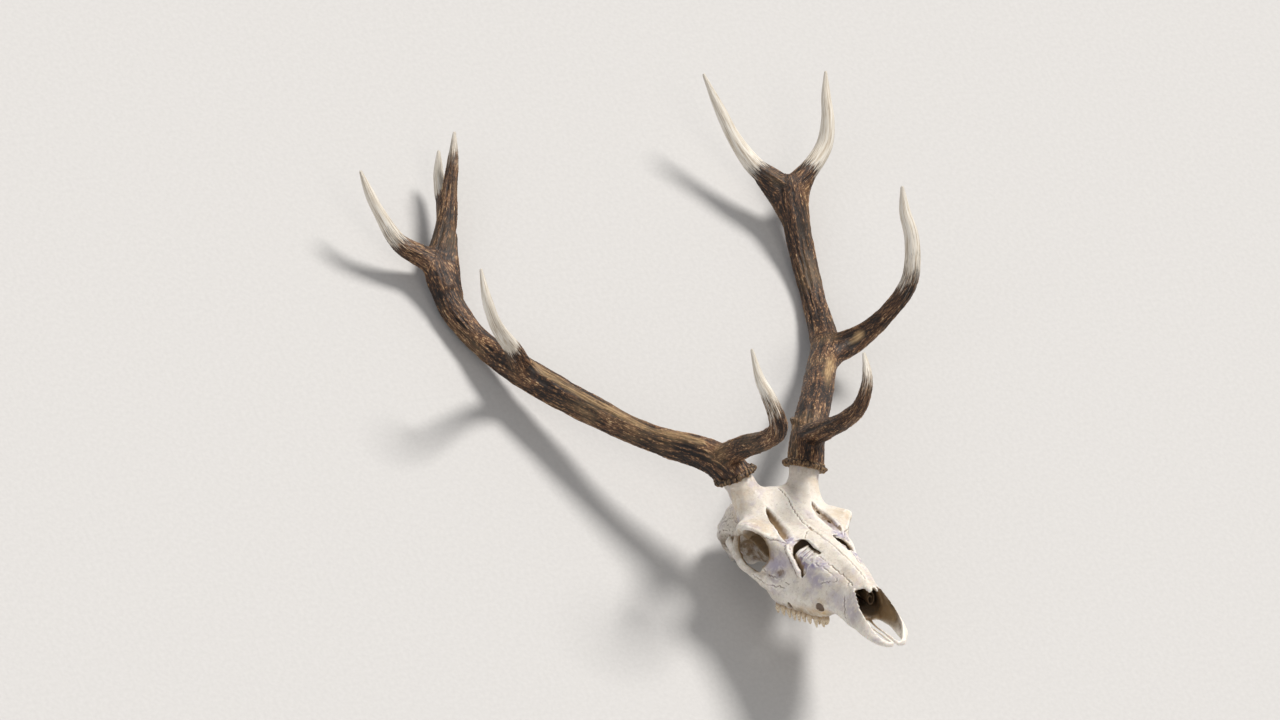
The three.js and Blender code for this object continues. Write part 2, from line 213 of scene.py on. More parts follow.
def blade(name, lines, start, end, side, step=2.5, fine=6):
    """A bone on one side only, such as half of the snout."""
    curves = [line(rows) for rows in lines]
    rings = []
    for s in np.linspace(start, end, int((end - start) / step) + 1):
        ring = np.array([[*curve(s)] for curve in curves])
        ring = np.column_stack([side * ring[:, 0], np.full(len(ring), s), ring[:, 1]])
        rings.append(through(ring, fine, closed=True))
    return skin(name, rings)


# %% Rods along a path
def path_of(rows, side=1, steps=12):
    """Places, directions, two cross directions and radii along rows of [x, s, z, radius]."""
    rows = np.array(rows, float)
    centre = through(rows[:, :3] * [side, 1, 1], steps)
    radius = line(np.column_stack([np.arange(len(rows)), rows[:, 3]]))(np.arange(len(centre)) / steps)[:, 0]
    along = np.gradient(centre, axis=0)
    along /= np.linalg.norm(along, axis=1)[:, None]
    across = np.empty_like(centre)
    last = np.array([0.0, 0.0, 1.0])
    for i, direction in enumerate(along):
        last = last - direction * (last @ direction)
        last = last / np.linalg.norm(last)
        across[i] = last
    return centre, along, across, np.cross(along, across), radius


def rod(name, rows, side=1, sides=20, steps=6, flat=1.0):
    """A limb along a path of [x, s, z, radius]; flat scales it along its second cross direction."""
    centre, along, across, beside, radius = path_of(rows, side, steps)
    angle = np.arange(sides) * 2 * math.pi / sides
    rings = []
    for c, a, b, r in zip(centre, across, beside, radius):
        rings.append(c + r * np.outer(np.cos(angle), a) + flat * r * np.outer(np.sin(angle), b))
    return skin(name, rings)


def ball(name, centre, radii, side=1, turn=(0, 0, 0), segments=32, rings=20):
    """A stretched sphere at its place, for what is round, and to cut hollows with."""
    bpy.ops.mesh.primitive_uv_sphere_add(segments=segments, ring_count=rings, radius=1)
    piece = bpy.context.object
    piece.name = name
    x, s, z = centre
    turned = Matrix.Rotation(math.radians(turn[2]) * side, 4, "Z") @ Matrix.Rotation(
        math.radians(turn[1]) * side, 4, "Y") @ Matrix.Rotation(math.radians(turn[0]), 4, "X")
    piece.data.transform(Matrix.Translation((side * x, s, z)) @ turned @ Matrix.Diagonal((*radii, 1)))
    return piece


# %% [markdown]
# ## Joining, cutting and remeshing
#
# Real skull bones are knit together, so their solids are cut and joined as clay would be, and then one even
# skin of small squares is drawn over the whole by a voxel remesh. Boolean modifiers cut the openings. The
# remesh melts the joints, and the even skin then takes fine shaping everywhere.


# %% Joining and cutting
def boolean(target, tool, operation):
    """Cuts or joins the target with a tool, and removes the tool."""
    change = target.modifiers.new("change", "BOOLEAN")
    change.operation = operation
    change.solver = "MANIFOLD"
    change.object = tool
    only(target)
    bpy.ops.object.modifier_apply(modifier=change.name)
    bpy.data.objects.remove(tool)
    return target


def cut(target, *tools):
    """Cuts several tools out of the target, one after another."""
    for tool in tools:
        boolean(target, tool, "DIFFERENCE")
    return target


def merge(target, *others):
    """Puts several closed meshes into one object; a remesh then makes them one body."""
    only(target, *others)
    bpy.ops.object.join()
    return target


def remesh(piece, size):
    """One even skin over all that the piece holds, with squares of about this size in millimetres."""
    skinning = piece.modifiers.new("skin", "REMESH")
    skinning.mode = "VOXEL"
    skinning.voxel_size = size
    only(piece)
    bpy.ops.object.modifier_apply(modifier=skinning.name)
    print(piece.name, "has", len(piece.data.polygons), "squares of", size, "mm")
    return piece


# %% [markdown]
# ## Shaping by hand, in code
#
# A sculptor presses, raises and smooths. Here each of those is a function of where a point of the skin lies:
# a hollow fades out from its middle, a groove or a ridge follows a path, and relaxing draws each point
# towards its neighbours, which rounds a crease into a web of bone. Seeded noise keeps it the same every time.


# %% Shaping tools
PULL = 0.6  # how much of the way to the middle of its neighbours a point moves in one step
SEED_SHIFT = np.array([17.3, 5.1, -9.7])  # where the noise of seed 1 starts, counted in lumps


def points_of(piece):
    flat = np.empty(len(piece.data.vertices) * 3)
    piece.data.vertices.foreach_get("co", flat)
    return flat.reshape(-1, 3)


def put_points(piece, points):
    piece.data.vertices.foreach_set("co", points.ravel())
    piece.data.update()


def normals_of(piece):
    flat = np.empty(len(piece.data.vertices) * 3)
    piece.data.vertex_normals.foreach_get("vector", flat)
    return flat.reshape(-1, 3)


def edges_of(piece):
    flat = np.empty(len(piece.data.edges) * 2, int)
    piece.data.edges.foreach_get("vertices", flat)
    return flat.reshape(-1, 2)


def neighbour_mean(values, edges):
    """The mean of each point's neighbours, for any values held by the points."""
    n = len(values)
    count = np.maximum(np.bincount(edges.ravel(), minlength=n), 1)
    columns = values.reshape(n, -1)
    total = np.column_stack([np.bincount(edges[:, 0], columns[edges[:, 1], k], n)
                             + np.bincount(edges[:, 1], columns[edges[:, 0], k], n)
                             for k in range(columns.shape[1])])
    return (total / count[:, None]).reshape(values.shape)


def relax(piece, times, where=1.0):
    """Smooths the skin, more where `where` is nearer to 1."""
    points, edges = points_of(piece), edges_of(piece)
    amount = np.broadcast_to(np.asarray(where, float), len(points))[:, None]
    for _ in range(times):
        points = points + PULL * amount * (neighbour_mean(points, edges) - points)
    put_points(piece, points)


def near(points, centre, radii):
    """1 in the middle of an egg-shaped region and 0 from its edge outwards."""
    d = np.linalg.norm((points - np.array(centre)) / np.array(radii), axis=1)
    return np.clip(1 - d**2, 0, 1) ** 2


def from_path(points, path):
    """How far each point is from a bent line through a few places, and how far along it, from 0 to 1."""
    path = np.array(path, float)
    best = np.full(len(points), 1e9)
    place = np.zeros(len(points))
    for i, (a, b) in enumerate(zip(path[:-1], path[1:])):
        t = np.clip((points - a) @ (b - a) / max((b - a) @ (b - a), 1e-9), 0, 1)
        d = np.linalg.norm(points - a - t[:, None] * (b - a), axis=1)
        place = np.where(d < best, (i + t) / (len(path) - 1), place)
        best = np.minimum(best, d)
    return best, place


def rough(points, size, seed=0):
    """Smooth noise from -1 to 1 whose lumps are about this many millimetres across."""
    scaled = points / size + seed * SEED_SHIFT
    return np.array([noise.noise(p) for p in scaled.tolist()])


def smooth_step(value, start, end):
    """0 before the start and 1 after the end, with a soft rise between."""
    t = np.clip((value - start) / (end - start), 0, 1)
    return t * t * (3 - 2 * t)


# %% [markdown]
# ## The lines of the skull
#
# These are the driving dimensions. They are the measured model's, but for a squarer tip of the snout and
# wider feet of the antlers. Each row is the distance behind the snout's tip, the distance from the middle
# plane, and the height.

# %% Lines of the face
DORSAL = [[60, 0, 68], [82, 0, 76], [100, 0, 84], [150, 0, 99], [200, 0, 109], [222, 0, 112],
          [250, 0, 117], [272, 0, 126], [295, 0, 142], [315, 0, 151], [332, 0, 151], [350, 0, 143],
          [370, 0, 129], [388, 0, 112], [396, 0, 96]]
NASAL_EDGE = [[60, 7, 65], [74, 10, 67], [84, 17, 66], [100, 17, 74], [150, 20, 90], [185, 25, 99],
              [205, 23, 105], [222, 22, 109]]
UPPER_SIDE = [[84, 22, 58], [120, 29, 72], [160, 36, 84], [200, 45, 92], [240, 62, 102]]
MIDDLE_SIDE = [[84, 28, 42], [120, 38, 52], [160, 45, 56], [200, 53, 62], [240, 65, 76]]
FACIAL_CREST = [[84, 31, 26], [120, 43, 34], [160, 53, 35], [195, 60, 36], [220, 65, 41], [246, 70, 53]]
ALVEOLUS_OUTER = [[84, 29, 17], [108, 30, 24], [120, 34, 22], [130, 39, 17], [160, 47, 15], [205, 52, 15],
                  [240, 53, 18], [246, 46, 30]]
ALVEOLUS_INNER = [[84, 20, 16], [108, 20, 24], [120, 24, 22], [130, 27, 18], [160, 31, 16], [205, 35, 16],
                  [240, 36, 19], [246, 30, 34]]
PALATE = [[84, 0, 17], [104, 0, 24], [160, 0, 27], [215, 0, 29], [246, 0, 44]]
SNOUT_UPPER = [[2, 14, 7], [12, 18, 13], [28, 24, 27], [54, 25, 45], [74, 20, 61], [84, 18, 66]]
SNOUT_OUTER = [[2, 16, 5], [12, 23, 9], [28, 31, 18], [54, 31, 28], [84, 29, 42]]
SNOUT_LOWER = [[2, 14, 0], [12, 23, 2], [28, 32, 9], [54, 31, 13], [84, 29, 17]]
SNOUT_INNER = [[2, 2, 0], [12, 14, 4], [28, 16, 9], [54, 20, 14], [84, 20, 17]]
SNOUT_HOLLOW = [[2, 4, 5], [12, 15, 9], [28, 23, 18], [54, 26, 29], [84, 25, 40]]

# %% Lines of the forehead and the braincase
BROW = [[224, 24, 109], [250, 32, 117], [272, 36, 124], [300, 36, 136], [318, 30, 147], [336, 28, 146]]
ORBIT_RIM = [[224, 48, 104], [240, 64, 109], [255, 78, 116], [270, 84, 118], [288, 84, 115],
             [300, 72, 112], [318, 52, 108], [336, 48, 104]]
ORBIT_WALL = [[224, 50, 84], [240, 60, 80], [270, 62, 82], [300, 50, 84], [318, 43, 88], [336, 48, 88]]
SKULL_BASE = [[224, 20, 58], [260, 16, 56], [300, 18, 50], [336, 26, 48]]
KEEL = [[224, 0, 50], [260, 0, 52], [300, 0, 48], [336, 0, 46], [370, 0, 45], [384, 0, 50], [396, 0, 58]]
CRANIUM_TOP = [[330, 30, 146], [352, 32, 137], [371, 30, 128], [388, 26, 112], [396, 22, 94]]
CRANIUM_SIDE = [[330, 44, 120], [352, 50, 121], [371, 50, 118], [386, 43, 106], [396, 32, 88]]
CRANIUM_FLANK = [[330, 50, 100], [352, 56, 102], [374, 58, 100], [388, 49, 92], [396, 38, 80]]
MASTOID = [[330, 48, 86], [352, 56, 84], [374, 63, 80], [388, 54, 74], [396, 38, 70]]
CRANIUM_BASE = [[330, 42, 60], [352, 44, 54], [374, 42, 48], [388, 34, 50], [396, 22, 60]]

# %% Rods of bone
# Each row is the distance from the middle plane, the distance behind the snout's tip, the height, the radius.
# The condyle and the bulla are balls, and have one centre and three radii.
PEDICLE = [[33, 300, 94, 35], [36, 310, 112, 31.5], [40, 321, 130, 27], [45, 330, 144, 23.5],
           [50, 337, 157, 21.5], [54, 342, 166, 21], [56, 344, 172, 20]]
POSTORBITAL_BAR = [[74, 282, 116, 6.5], [79, 287, 110, 5.6], [81, 292, 100, 4.8], [81, 294, 88, 4.5],
                   [80, 294, 76, 4.8], [77, 292, 68, 6]]
CHEEKBONE = [[60, 226, 44, 12], [66, 236, 46, 11], [71, 247, 49, 7.5], [75, 263, 54, 6.2], [78, 280, 60, 6.4],
             [77, 300, 70, 6.6], [73, 312, 73, 6.8], [67, 332, 75, 7], [60, 350, 76, 8]]
JUGULAR_PROCESS = [[42, 362, 62, 12], [43, 368, 54, 9], [42, 372, 46, 5.5], [40, 373, 41, 3]]
PALATINE_BAR = [[3.5, 4, 4, 3], [3.6, 30, 9, 2.4], [4.2, 60, 13, 2.2], [7, 84, 18, 2.6], [9, 96, 22, 3]]
CONDYLE = [[24, 386, 52], [11, 14, 16]]
PTERYGOID = [[17, 226, 40, 5], [16, 246, 40, 4.5], [16, 268, 42, 4], [17, 290, 46, 5], [20, 310, 50, 7]]
BULLA = [[27, 346, 50], [9, 13, 9]]
print("jaw", PALATE[0][0], "to", ALVEOLUS_OUTER[-1][0], "mm behind the snout's tip")

# %% [markdown]
# ## Hollows
#
# A skull is mostly air. The nose is one long cavity that opens in front and behind the palate, the eye sits
# in a deep cup, and in a deer there is a triangular gap in front of each eye where no bone ever closes. The
# hollows are solids of their own that are cut out, so that the walls that are left have a real thickness.

# %% Hollows of the skull
CAVITY_TOP = [[56, 0, 60], [84, 0, 71], [120, 0, 85], [150, 0, 93], [200, 0, 103], [228, 0, 104]]
CAVITY_UPPER = [[56, 15, 56], [84, 15, 62], [120, 22, 71], [160, 31.5, 83], [200, 41, 91], [228, 44, 96]]
CAVITY_MIDDLE = [[56, 22, 40], [84, 23, 42], [120, 31, 52], [160, 39.5, 57], [200, 49, 64], [228, 49, 74]]
CAVITY_LOWER = [[56, 21, 27], [84, 23, 27], [120, 29, 36], [160, 38, 39], [200, 44, 41], [228, 42, 48]]
CAVITY_FLOOR = [[56, 0, 18], [84, 0, 23], [104, 0, 29], [160, 0, 32], [215, 0, 35], [228, 0, 42]]
EYE_GAP = [[218, 104], [204, 106], [192, 103.5], [180, 105], [166, 102], [170, 93], [166, 85], [171, 78],
           [170, 71], [177, 61], [183, 70]]
EYE_GAP_REACH = (20, 80)  # how near the middle plane the gap's plug starts, and how far out it ends
# These hollows are balls, a centre and three radii each.
ORBIT = [[76, 262, 86], [46, 25, 28.5]]
ORBIT_DEPTH = [[44, 276, 86], [26, 22, 20]]
CHOANA = [[0, 250, 46], [12.5, 34, 14]]
BRAIN = [[0, 352, 96], [38, 34, 34]]
FORAMEN_MAGNUM = [[0, 392, 64], [13, 30, 12]]


def prism(name, corners, x_from, x_to, side):
    """A straight-sided plug through the side of the face, from corners of [s, z]."""
    rings = [np.array([[side * x, s, z] for s, z in corners]) for x in (x_from, x_to)]
    return skin(name, rings)


# The nose bones end in front in ragged points. Each row is a notch's place across the nose, how far behind
# the snout's tip it ends, and its half width.
NOTCHES = [[0, 78, 2.2], [9.5, 88, 3.4], [15, 82, 2.6], [-9.5, 86, 3.4], [-15, 84, 2.8], [4.6, 70, 1.7],
           [-5, 72, 1.8]]
NOTCH_MOUTH = 52
NOTCH_HEIGHTS = (48, 92)


def notch(x, end, half_width):
    """A wedge that cuts a pointed notch into the front edge of the nose bones."""
    rings = [np.array([[x - half_width, NOTCH_MOUTH, z], [x + half_width, NOTCH_MOUTH, z], [x, end, z]])
             for z in NOTCH_HEIGHTS]
    return skin("notch", rings)


# %% [markdown]
# ## The skull as one body
#
# The face, the forehead and the braincase are three lofts. They are joined, hollowed, given their rods of
# bone, and remeshed. Whatever crosses a hollow, such as the bar behind the eye, is added after the cut.

# %% Build the skull
SKULL_SQUARE = 1.45
ROOF_EDGE, ROOF_MIDDLE = 4, 4.5  # how thick the nose bones are where they stand free
face = loft("skull", [DORSAL, NASAL_EDGE, UPPER_SIDE, MIDDLE_SIDE, FACIAL_CREST, ALVEOLUS_OUTER,
                      ALVEOLUS_INNER, PALATE], 82, 246)
forehead = loft("forehead", [DORSAL, BROW, ORBIT_RIM, ORBIT_WALL, SKULL_BASE, KEEL], 224, 338)
braincase = loft("braincase_form", [DORSAL, CRANIUM_TOP, CRANIUM_SIDE, CRANIUM_FLANK, MASTOID, CRANIUM_BASE,
                                    KEEL], 330, 396)
skull = boolean(face, forehead, "UNION")
boolean(skull, braincase, "UNION")
roof = loft("roof", [DORSAL, NASAL_EDGE, [[s, x, z - ROOF_EDGE] for s, x, z in NASAL_EDGE],
                     [[s, x, z - ROOF_MIDDLE] for s, x, z in DORSAL]], 60, 90)
boolean(skull, roof, "UNION")
cut(skull, *[notch(*row) for row in NOTCHES])
for side in SIDES.values():
    boolean(skull, rod("pedicle", PEDICLE, side, sides=32), "UNION")
    boolean(skull, ball("condyle", *CONDYLE, side), "UNION")
cut(skull, loft("cavity", [CAVITY_TOP, CAVITY_UPPER, CAVITY_MIDDLE, CAVITY_LOWER, CAVITY_FLOOR], 56, 228))
cut(skull, ball("choana", *CHOANA), ball("brain", *BRAIN), ball("foramen_magnum", *FORAMEN_MAGNUM))
for side in SIDES.values():
    cut(skull, ball("orbit", *ORBIT, side), ball("orbit_depth", *ORBIT_DEPTH, side))
    cut(skull, prism("eye_gap", EYE_GAP, *EYE_GAP_REACH, side))
print("skull before its skin:", len(skull.data.polygons), "faces")

# %% Add what crosses the hollows
extras = []
for side in SIDES.values():
    extras.append(blade("premaxilla_form", [SNOUT_UPPER, SNOUT_OUTER, SNOUT_LOWER, SNOUT_INNER, SNOUT_HOLLOW],
                        2, 88, side))
    extras.append(rod("palatine_bar", PALATINE_BAR, side, flat=0.75))
    extras.append(rod("postorbital_bar", POSTORBITAL_BAR, side, flat=1.1))
    extras.append(rod("cheekbone_form", CHEEKBONE, side, flat=0.75))
    extras.append(rod("jugular_process", JUGULAR_PROCESS, side, flat=0.7))
    extras.append(rod("pterygoid", PTERYGOID, side, flat=0.45))
    extras.append(ball("bulla", *BULLA, side))
merge(skull, *extras)
remesh(skull, SKULL_SQUARE)
relax(skull, 3)

# %% [markdown]
# ## Marks that finishes read
#
# A finish is better when it knows the shape it lies on. Several of these measures carry painted light: the
# bone is painted darker as shade in creases, in broad hollows, in the eye socket and wherever little of the
# view is open, and lighter on crests, partly as wear and partly as a painted highlight. Dirt also stays in
# the creases of the seams, and the inside of the nose is brown because nothing has bleached it. These
# measures are taken once and kept on the points of the mesh, so that the materials can read them as numbers.


# %% Measures of the skin
CREST_PULL = 0.7
OPEN_RAYS = 14
OPEN_REACH = 70.0
RAY_LIFT, RAY_START = 0.8, 0.3  # a ray starts this far off the skin, and this far along its own way


def hold(piece, name, values):
    """Keeps a number or a direction on each point, for the piece's finish to read."""
    kind = "FLOAT" if values.ndim == 1 else "FLOAT_VECTOR"
    attribute = piece.data.attributes.new(name, kind, "POINT")
    attribute.data.foreach_set("value" if kind == "FLOAT" else "vector", values.astype(np.float32).ravel())


def crest_of(piece, times):
    """How far each point stands out of the skin round it, in millimetres; a crease is below 0."""
    points, edges = points_of(piece), edges_of(piece)
    smooth = points
    for _ in range(times):
        smooth = smooth + CREST_PULL * (neighbour_mean(smooth, edges) - smooth)
    return np.sum((points - smooth) * normals_of(piece), axis=1)


def openness_of(points, normals, tree):
    """The share of the view from each point that no bone shuts off within reach, from 0 to 1."""
    chance = np.random.default_rng(3)
    rays = chance.normal(size=(OPEN_RAYS, 3))
    rays /= np.linalg.norm(rays, axis=1)[:, None]
    seen = np.zeros(len(points))
    for ray in rays:
        facing = normals @ ray
        direction = np.where(facing[:, None] < 0, -ray, ray)
        start = points + normals * RAY_LIFT + direction * RAY_START
        hits = [tree.ray_cast(place, way, OPEN_REACH)[0] is not None
                for place, way in zip(start.tolist(), direction.tolist())]
        seen += ~np.array(hits)
    return seen / OPEN_RAYS


# %% [markdown]
# ## Fine shape of the skull
#
# The skull's skin now gets what the lofts leave out. Flared roots run from the pedicles into the forehead, a
# low crest marks the middle seam, a groove with holes for blood vessels lies over each eye, thin lips stand
# round the gap before it, and the seams where bones knit wander over the surface as fine grooves. A path is
# first dropped onto the skin, so it can be named roughly.

# %% Tools that follow the skin
DROP_STEPS = 14
DROP_MARGIN = 15
WANDER_SIZE = 4.0


def drop(points, path, wander=0.0, seed=0):
    """A path through a few places, drawn smooth, made to wander, and dropped onto the nearest skin."""
    dense = through(path, DROP_STEPS)
    if wander:
        shake = np.column_stack([rough(dense, WANDER_SIZE, seed + k) for k in (1, 2, 3)])
        dense = dense + wander * shake
    lowest, highest = dense.min(0) - DROP_MARGIN, dense.max(0) + DROP_MARGIN
    close = points[np.all((points > lowest) & (points < highest), axis=1)]
    path = np.array([close[((close - place) ** 2).sum(1).argmin()] for place in dense])
    for _ in range(0 if wander else 8):
        path[1:-1] = (path[:-2] + 2 * path[1:-1] + path[2:]) / 4
    return path


def trace(points, path, reach):
    """How far each point is from a dense path, and its share along it; far points stay at the reach."""
    best, place = np.full(len(points), float(reach)), np.zeros(len(points))
    lowest, highest = path.min(0) - reach, path.max(0) + reach
    near_box = np.flatnonzero(np.all((points > lowest) & (points < highest), axis=1))
    best[near_box], place[near_box] = from_path(points[near_box], path)
    return np.minimum(best, reach), place


def stroke(points, normals, path, width, height, wander=0.0, seed=0, taper=True):
    """A ridge, or a groove where the height is below 0, along a path on the skin."""
    distance, place = trace(points, drop(points, path, wander, seed), 3 * width)
    amount = np.exp(-((distance / width) ** 2)) * (distance < 3 * width)
    if taper:
        amount *= smooth_step(place, 0, 0.12) * (1 - smooth_step(place, 0.88, 1))
    return normals * (height * amount)[:, None]


# %% Large forms
FLARED_ROOTS = [((38, 328, 140), (52, 56, 44)), ((8, 332, 150), (36, 44, 28))]  # centre, radii
ROOT_TOP = (158, 168)  # the flare fades out between these heights
ROOT_FILLS = 220
LARGE_FORMS = [  # centre, radii, height
    ((60, 228, 76), (24, 24, 26), -3.2),   # plate in front of the eye
    ((63, 213, 62), (16, 12, 10), -4.5),   # tear pit
    ((36, 112, 50), (14, 34, 22), -1.4),   # side of the nose
    ((50, 316, 104), (26, 24, 24), -6.0),  # behind the eye
    ((58, 306, 118), (12, 16, 12), 2.2),   # ridge from the antler's foot to the eye's rim
    ((22, 300, 140), (16, 24, 18), -1.8),  # forehead between the antlers' feet
    ((20, 398, 88), (16, 14, 15), -3.0),   # neck muscles
    ((20, 262, 122), (13, 40, 20), -1.6),  # forehead beside the middle crest
    ((60, 376, 78), (11, 10, 10), 2.5),    # knob behind the ear
    ((57, 356, 68), (9, 8, 7), -7.0),      # ear opening
    ((56, 368, 66), (5, 5, 5), -6.0),
    ((62, 350, 79), (5, 6, 4), -5.0),      # hole above the ear
    ((48, 172, 44), (16, 30, 14), -2.2),   # above the teeth
    ((12, 180, 30), (12, 50, 10), -1.5),   # palate
]
EYE_HOLLOW_GROOVE = [[35, 296, 130], [38, 282, 124], [41, 262, 117], [43, 243, 112], [45, 226, 109],
                     [45, 212, 106]]
GROOVE_DEPTH = {1: 4.0, -1: 9.0}  # shallow on the left side, deep and steep on the right
GROOVE_MIDDLE = [212, 243, 296], [45, 42.5, 35.5]  # how far out its middle lies, by distance behind the snout
GROOVE_OUTER, GROOVE_INNER = 3.0, 11.5  # how wide it is on the eye's side, and on the forehead's
GROOVE_SHARES = [0, 0.35, 0.7, 1], [0.1, 1, 1, 0.6]  # the share of that width, by share of its length
GROOVE_REACH = 24
GAP_LIP = [[46, 216, 103], [52, 207, 95], [51, 193, 80], [47, 178, 63]]
GAP_TOP = [[46, 216, 103], [41, 196, 103], [35, 172, 99], [33, 160, 95]]
STROKES = [  # path, width, height, wander
    ([[66, 240, 52], [61, 208, 38], [54, 170, 36], [46, 140, 34]], 7.0, 1.5, 0),
    ([[0, 392, 112], [18, 391, 110], [34, 387, 103], [46, 382, 93], [57, 377, 82]], 4.5, 3.2, 0.6),
    ([[52, 344, 142], [46, 362, 126], [38, 380, 115], [26, 389, 110]], 3.0, 1.2, 0.8),
    ([[66, 262, 119], [80, 270, 119], [84, 284, 114], [82, 292, 100]], 4.0, 1.0, 0),
    ([[56, 226, 106], [66, 242, 110], [77, 256, 116], [82, 270, 117]], 3.5, 1.6, 0),
    (GAP_LIP, 2.4, 3.2, 0.3),
    (GAP_TOP, 3.0, 1.0, 0.4),
    ([[14, 396, 60], [16, 398, 72], [10, 396, 80], [0, 395, 82]], 2.4, 1.6, 0),
]
MIDDLE_CREST = [[0, 318, 151], [0, 295, 142], [0, 272, 126], [0, 250, 117], [0, 226, 112]]
MIDDLE_STROKES = [  # path, width, height, wander, seed, taper
    (MIDDLE_CREST, 4.5, 2.0, 0.6, 5, True),
    (MIDDLE_CREST, 1.3, -2.9, 2.4, 6, False),
    ([[0, 222, 112], [0, 150, 99], [0, 84, 77]], 0.8, -1.0, 0.5, 7, False),
    ([[0, 210, 29], [0, 150, 27], [0, 106, 24]], 0.8, -0.9, 0.5, 8, False),
]
SEAMS = [
    [[25, 166, 93], [23, 140, 87], [19, 110, 77], [17, 88, 69]],
    [[0, 228, 113], [10, 224, 112], [19, 214, 109], [27, 204, 105]],
    [[33, 164, 84], [35, 150, 86], [34, 132, 85], [35, 116, 82], [38, 109, 77], [40, 119, 70], [45, 136, 64]],
    [[21, 94, 72], [28, 93, 58], [31, 88, 42], [31, 84, 27], [27, 73, 12]],
    [[72, 240, 64], [66, 224, 57], [60, 206, 53], [55, 192, 50]],
    [[74, 256, 52], [68, 232, 46], [61, 214, 43], [54, 198, 42]],
    [[80, 246, 106], [66, 236, 105], [54, 226, 104], [46, 216, 104]],
    [[0, 345, 147], [14, 346, 146], [28, 352, 138], [44, 350, 126]],
    [[48, 322, 106], [54, 338, 110], [57, 356, 106], [57, 370, 96]],
    [[79, 292, 76], [77, 303, 70], [74, 314, 66]],
    [[0, 212, 29], [12, 208, 29], [26, 204, 26]],
]
HOLES = [  # centre, radii, turn about the upright, for both sides
    ((46, 129, 31), (9, 9, 6.5), 30),
    ((57, 191, 19.5), (8.5, 5.5, 7.0), 10),
    ((38, 277, 115), (2.6, 5.2, 15), 0),
    ((41, 252, 106), (2.4, 5.4, 14), 0),
    ((11, 196, 30), (2.4, 4.5, 7), 0),
    ((66, 246, 92), (7, 3.0, 3.4), 0),
    ((64, 247, 78), (7, 2.6, 3.0), 0),
    ((49, 345, 132), (4, 1.8, 1.5), 0),
]


# %% Shape the skull
def fold_over(points):
    """The same points, all brought to the animal's left side."""
    return np.column_stack([np.abs(points[:, 0]), points[:, 1:]])


def fill_folds(piece, amount, times):
    """Draws the skin over its hollows, like clay pressed into a corner, and leaves what bulges."""
    points, edges = points_of(piece), edges_of(piece)
    for step in range(times):
        if step % 4 == 0:
            put_points(piece, points)
            normals = normals_of(piece)
        inward = neighbour_mean(points, edges) - points
        hollow = np.sum(inward * normals, axis=1) > -0.02
        points = points + PULL * (amount * np.where(hollow, 1.0, 0.12))[:, None] * inward
    put_points(piece, points)


def sculpt(piece):
    """Shapes the skull's skin, from its large forms to its seams and pits."""
    both = fold_over(points_of(piece))
    root = np.maximum(*[near(both, centre, radii) for centre, radii in FLARED_ROOTS])
    fill_folds(piece, np.clip(4 * root, 0, 1) * (1 - smooth_step(both[:, 2], *ROOT_TOP)), ROOT_FILLS)
    points = points_of(piece)
    for side in SIDES.values():
        mirrored = points * [side, 1, 1]
        normals = normals_of(piece)
        for centre, radii, height in LARGE_FORMS:
            points = points + normals * (height * near(mirrored, centre, radii))[:, None]
    put_points(piece, points)
    relax(piece, 1)
    points, normals = points_of(piece), normals_of(piece)
    move = np.zeros_like(points)
    for side in SIDES.values():
        mirrored, turned = points * [side, 1, 1], normals * [side, 1, 1]
        here = (mirrored[:, 0] > -1)[:, None]
        part = np.zeros_like(points)
        for i, (path, width, height, wander) in enumerate(STROKES):
            part += stroke(mirrored, turned, path, width, height, wander, 10 * i + side)
        distance, place = trace(mirrored, drop(mirrored, EYE_HOLLOW_GROOVE), GROOVE_REACH)
        outer = mirrored[:, 0] > np.interp(mirrored[:, 1], *GROOVE_MIDDLE)
        span = np.where(outer, GROOVE_OUTER, GROOVE_INNER) * np.interp(place, *GROOVE_SHARES)
        deep = np.exp(-((distance / span) ** 4))
        deep = deep * smooth_step(place, 0, 0.1) * (1 - smooth_step(place, 0.66, 1))
        part -= turned * (GROOVE_DEPTH[side] * deep * (turned[:, 2] > 0.1))[:, None]
        move += np.where(here, part * [side, 1, 1], 0)
    put_points(piece, points + move)
    points, normals = points_of(piece), normals_of(piece)
    patchy = np.clip(0.55 + 1.1 * rough(points, 10, 77), 0.05, 1)[:, None]
    move = sum(stroke(points, normals, *row) for row in MIDDLE_STROKES)
    for side in SIDES.values():
        mirrored, turned = points * [side, 1, 1], normals * [side, 1, 1]
        for i, path in enumerate(SEAMS):
            seam = stroke(mirrored, turned, path, 0.95, -1.5, 1.7, 20 * i + side, taper=False)
            move += np.where((mirrored[:, 0] > -1)[:, None], seam * [side, 1, 1], 0) * patchy
    waves = 0.9 * rough(points, 24, 1) + 0.55 * rough(points, 9, 2) + 0.2 * rough(points, 3.6, 3)
    weathered = near(fold_over(points), (52, 356, 92), (44, 50, 52))
    pits = np.clip(rough(points, 3.4, 4) - 0.2, 0, 1)
    move += normals * (waves - 2.2 * pits * weathered)[:, None]
    put_points(piece, points + move)


sculpt(skull)

# %% Bore the small holes
drills = [ball("hole", centre, radii, side, (0, 0, turn), segments=16, rings=10)
          for side in SIDES.values() for centre, radii, turn in HOLES]
cut(skull, merge(*drills))
print("skull:", len(skull.data.polygons), "faces")
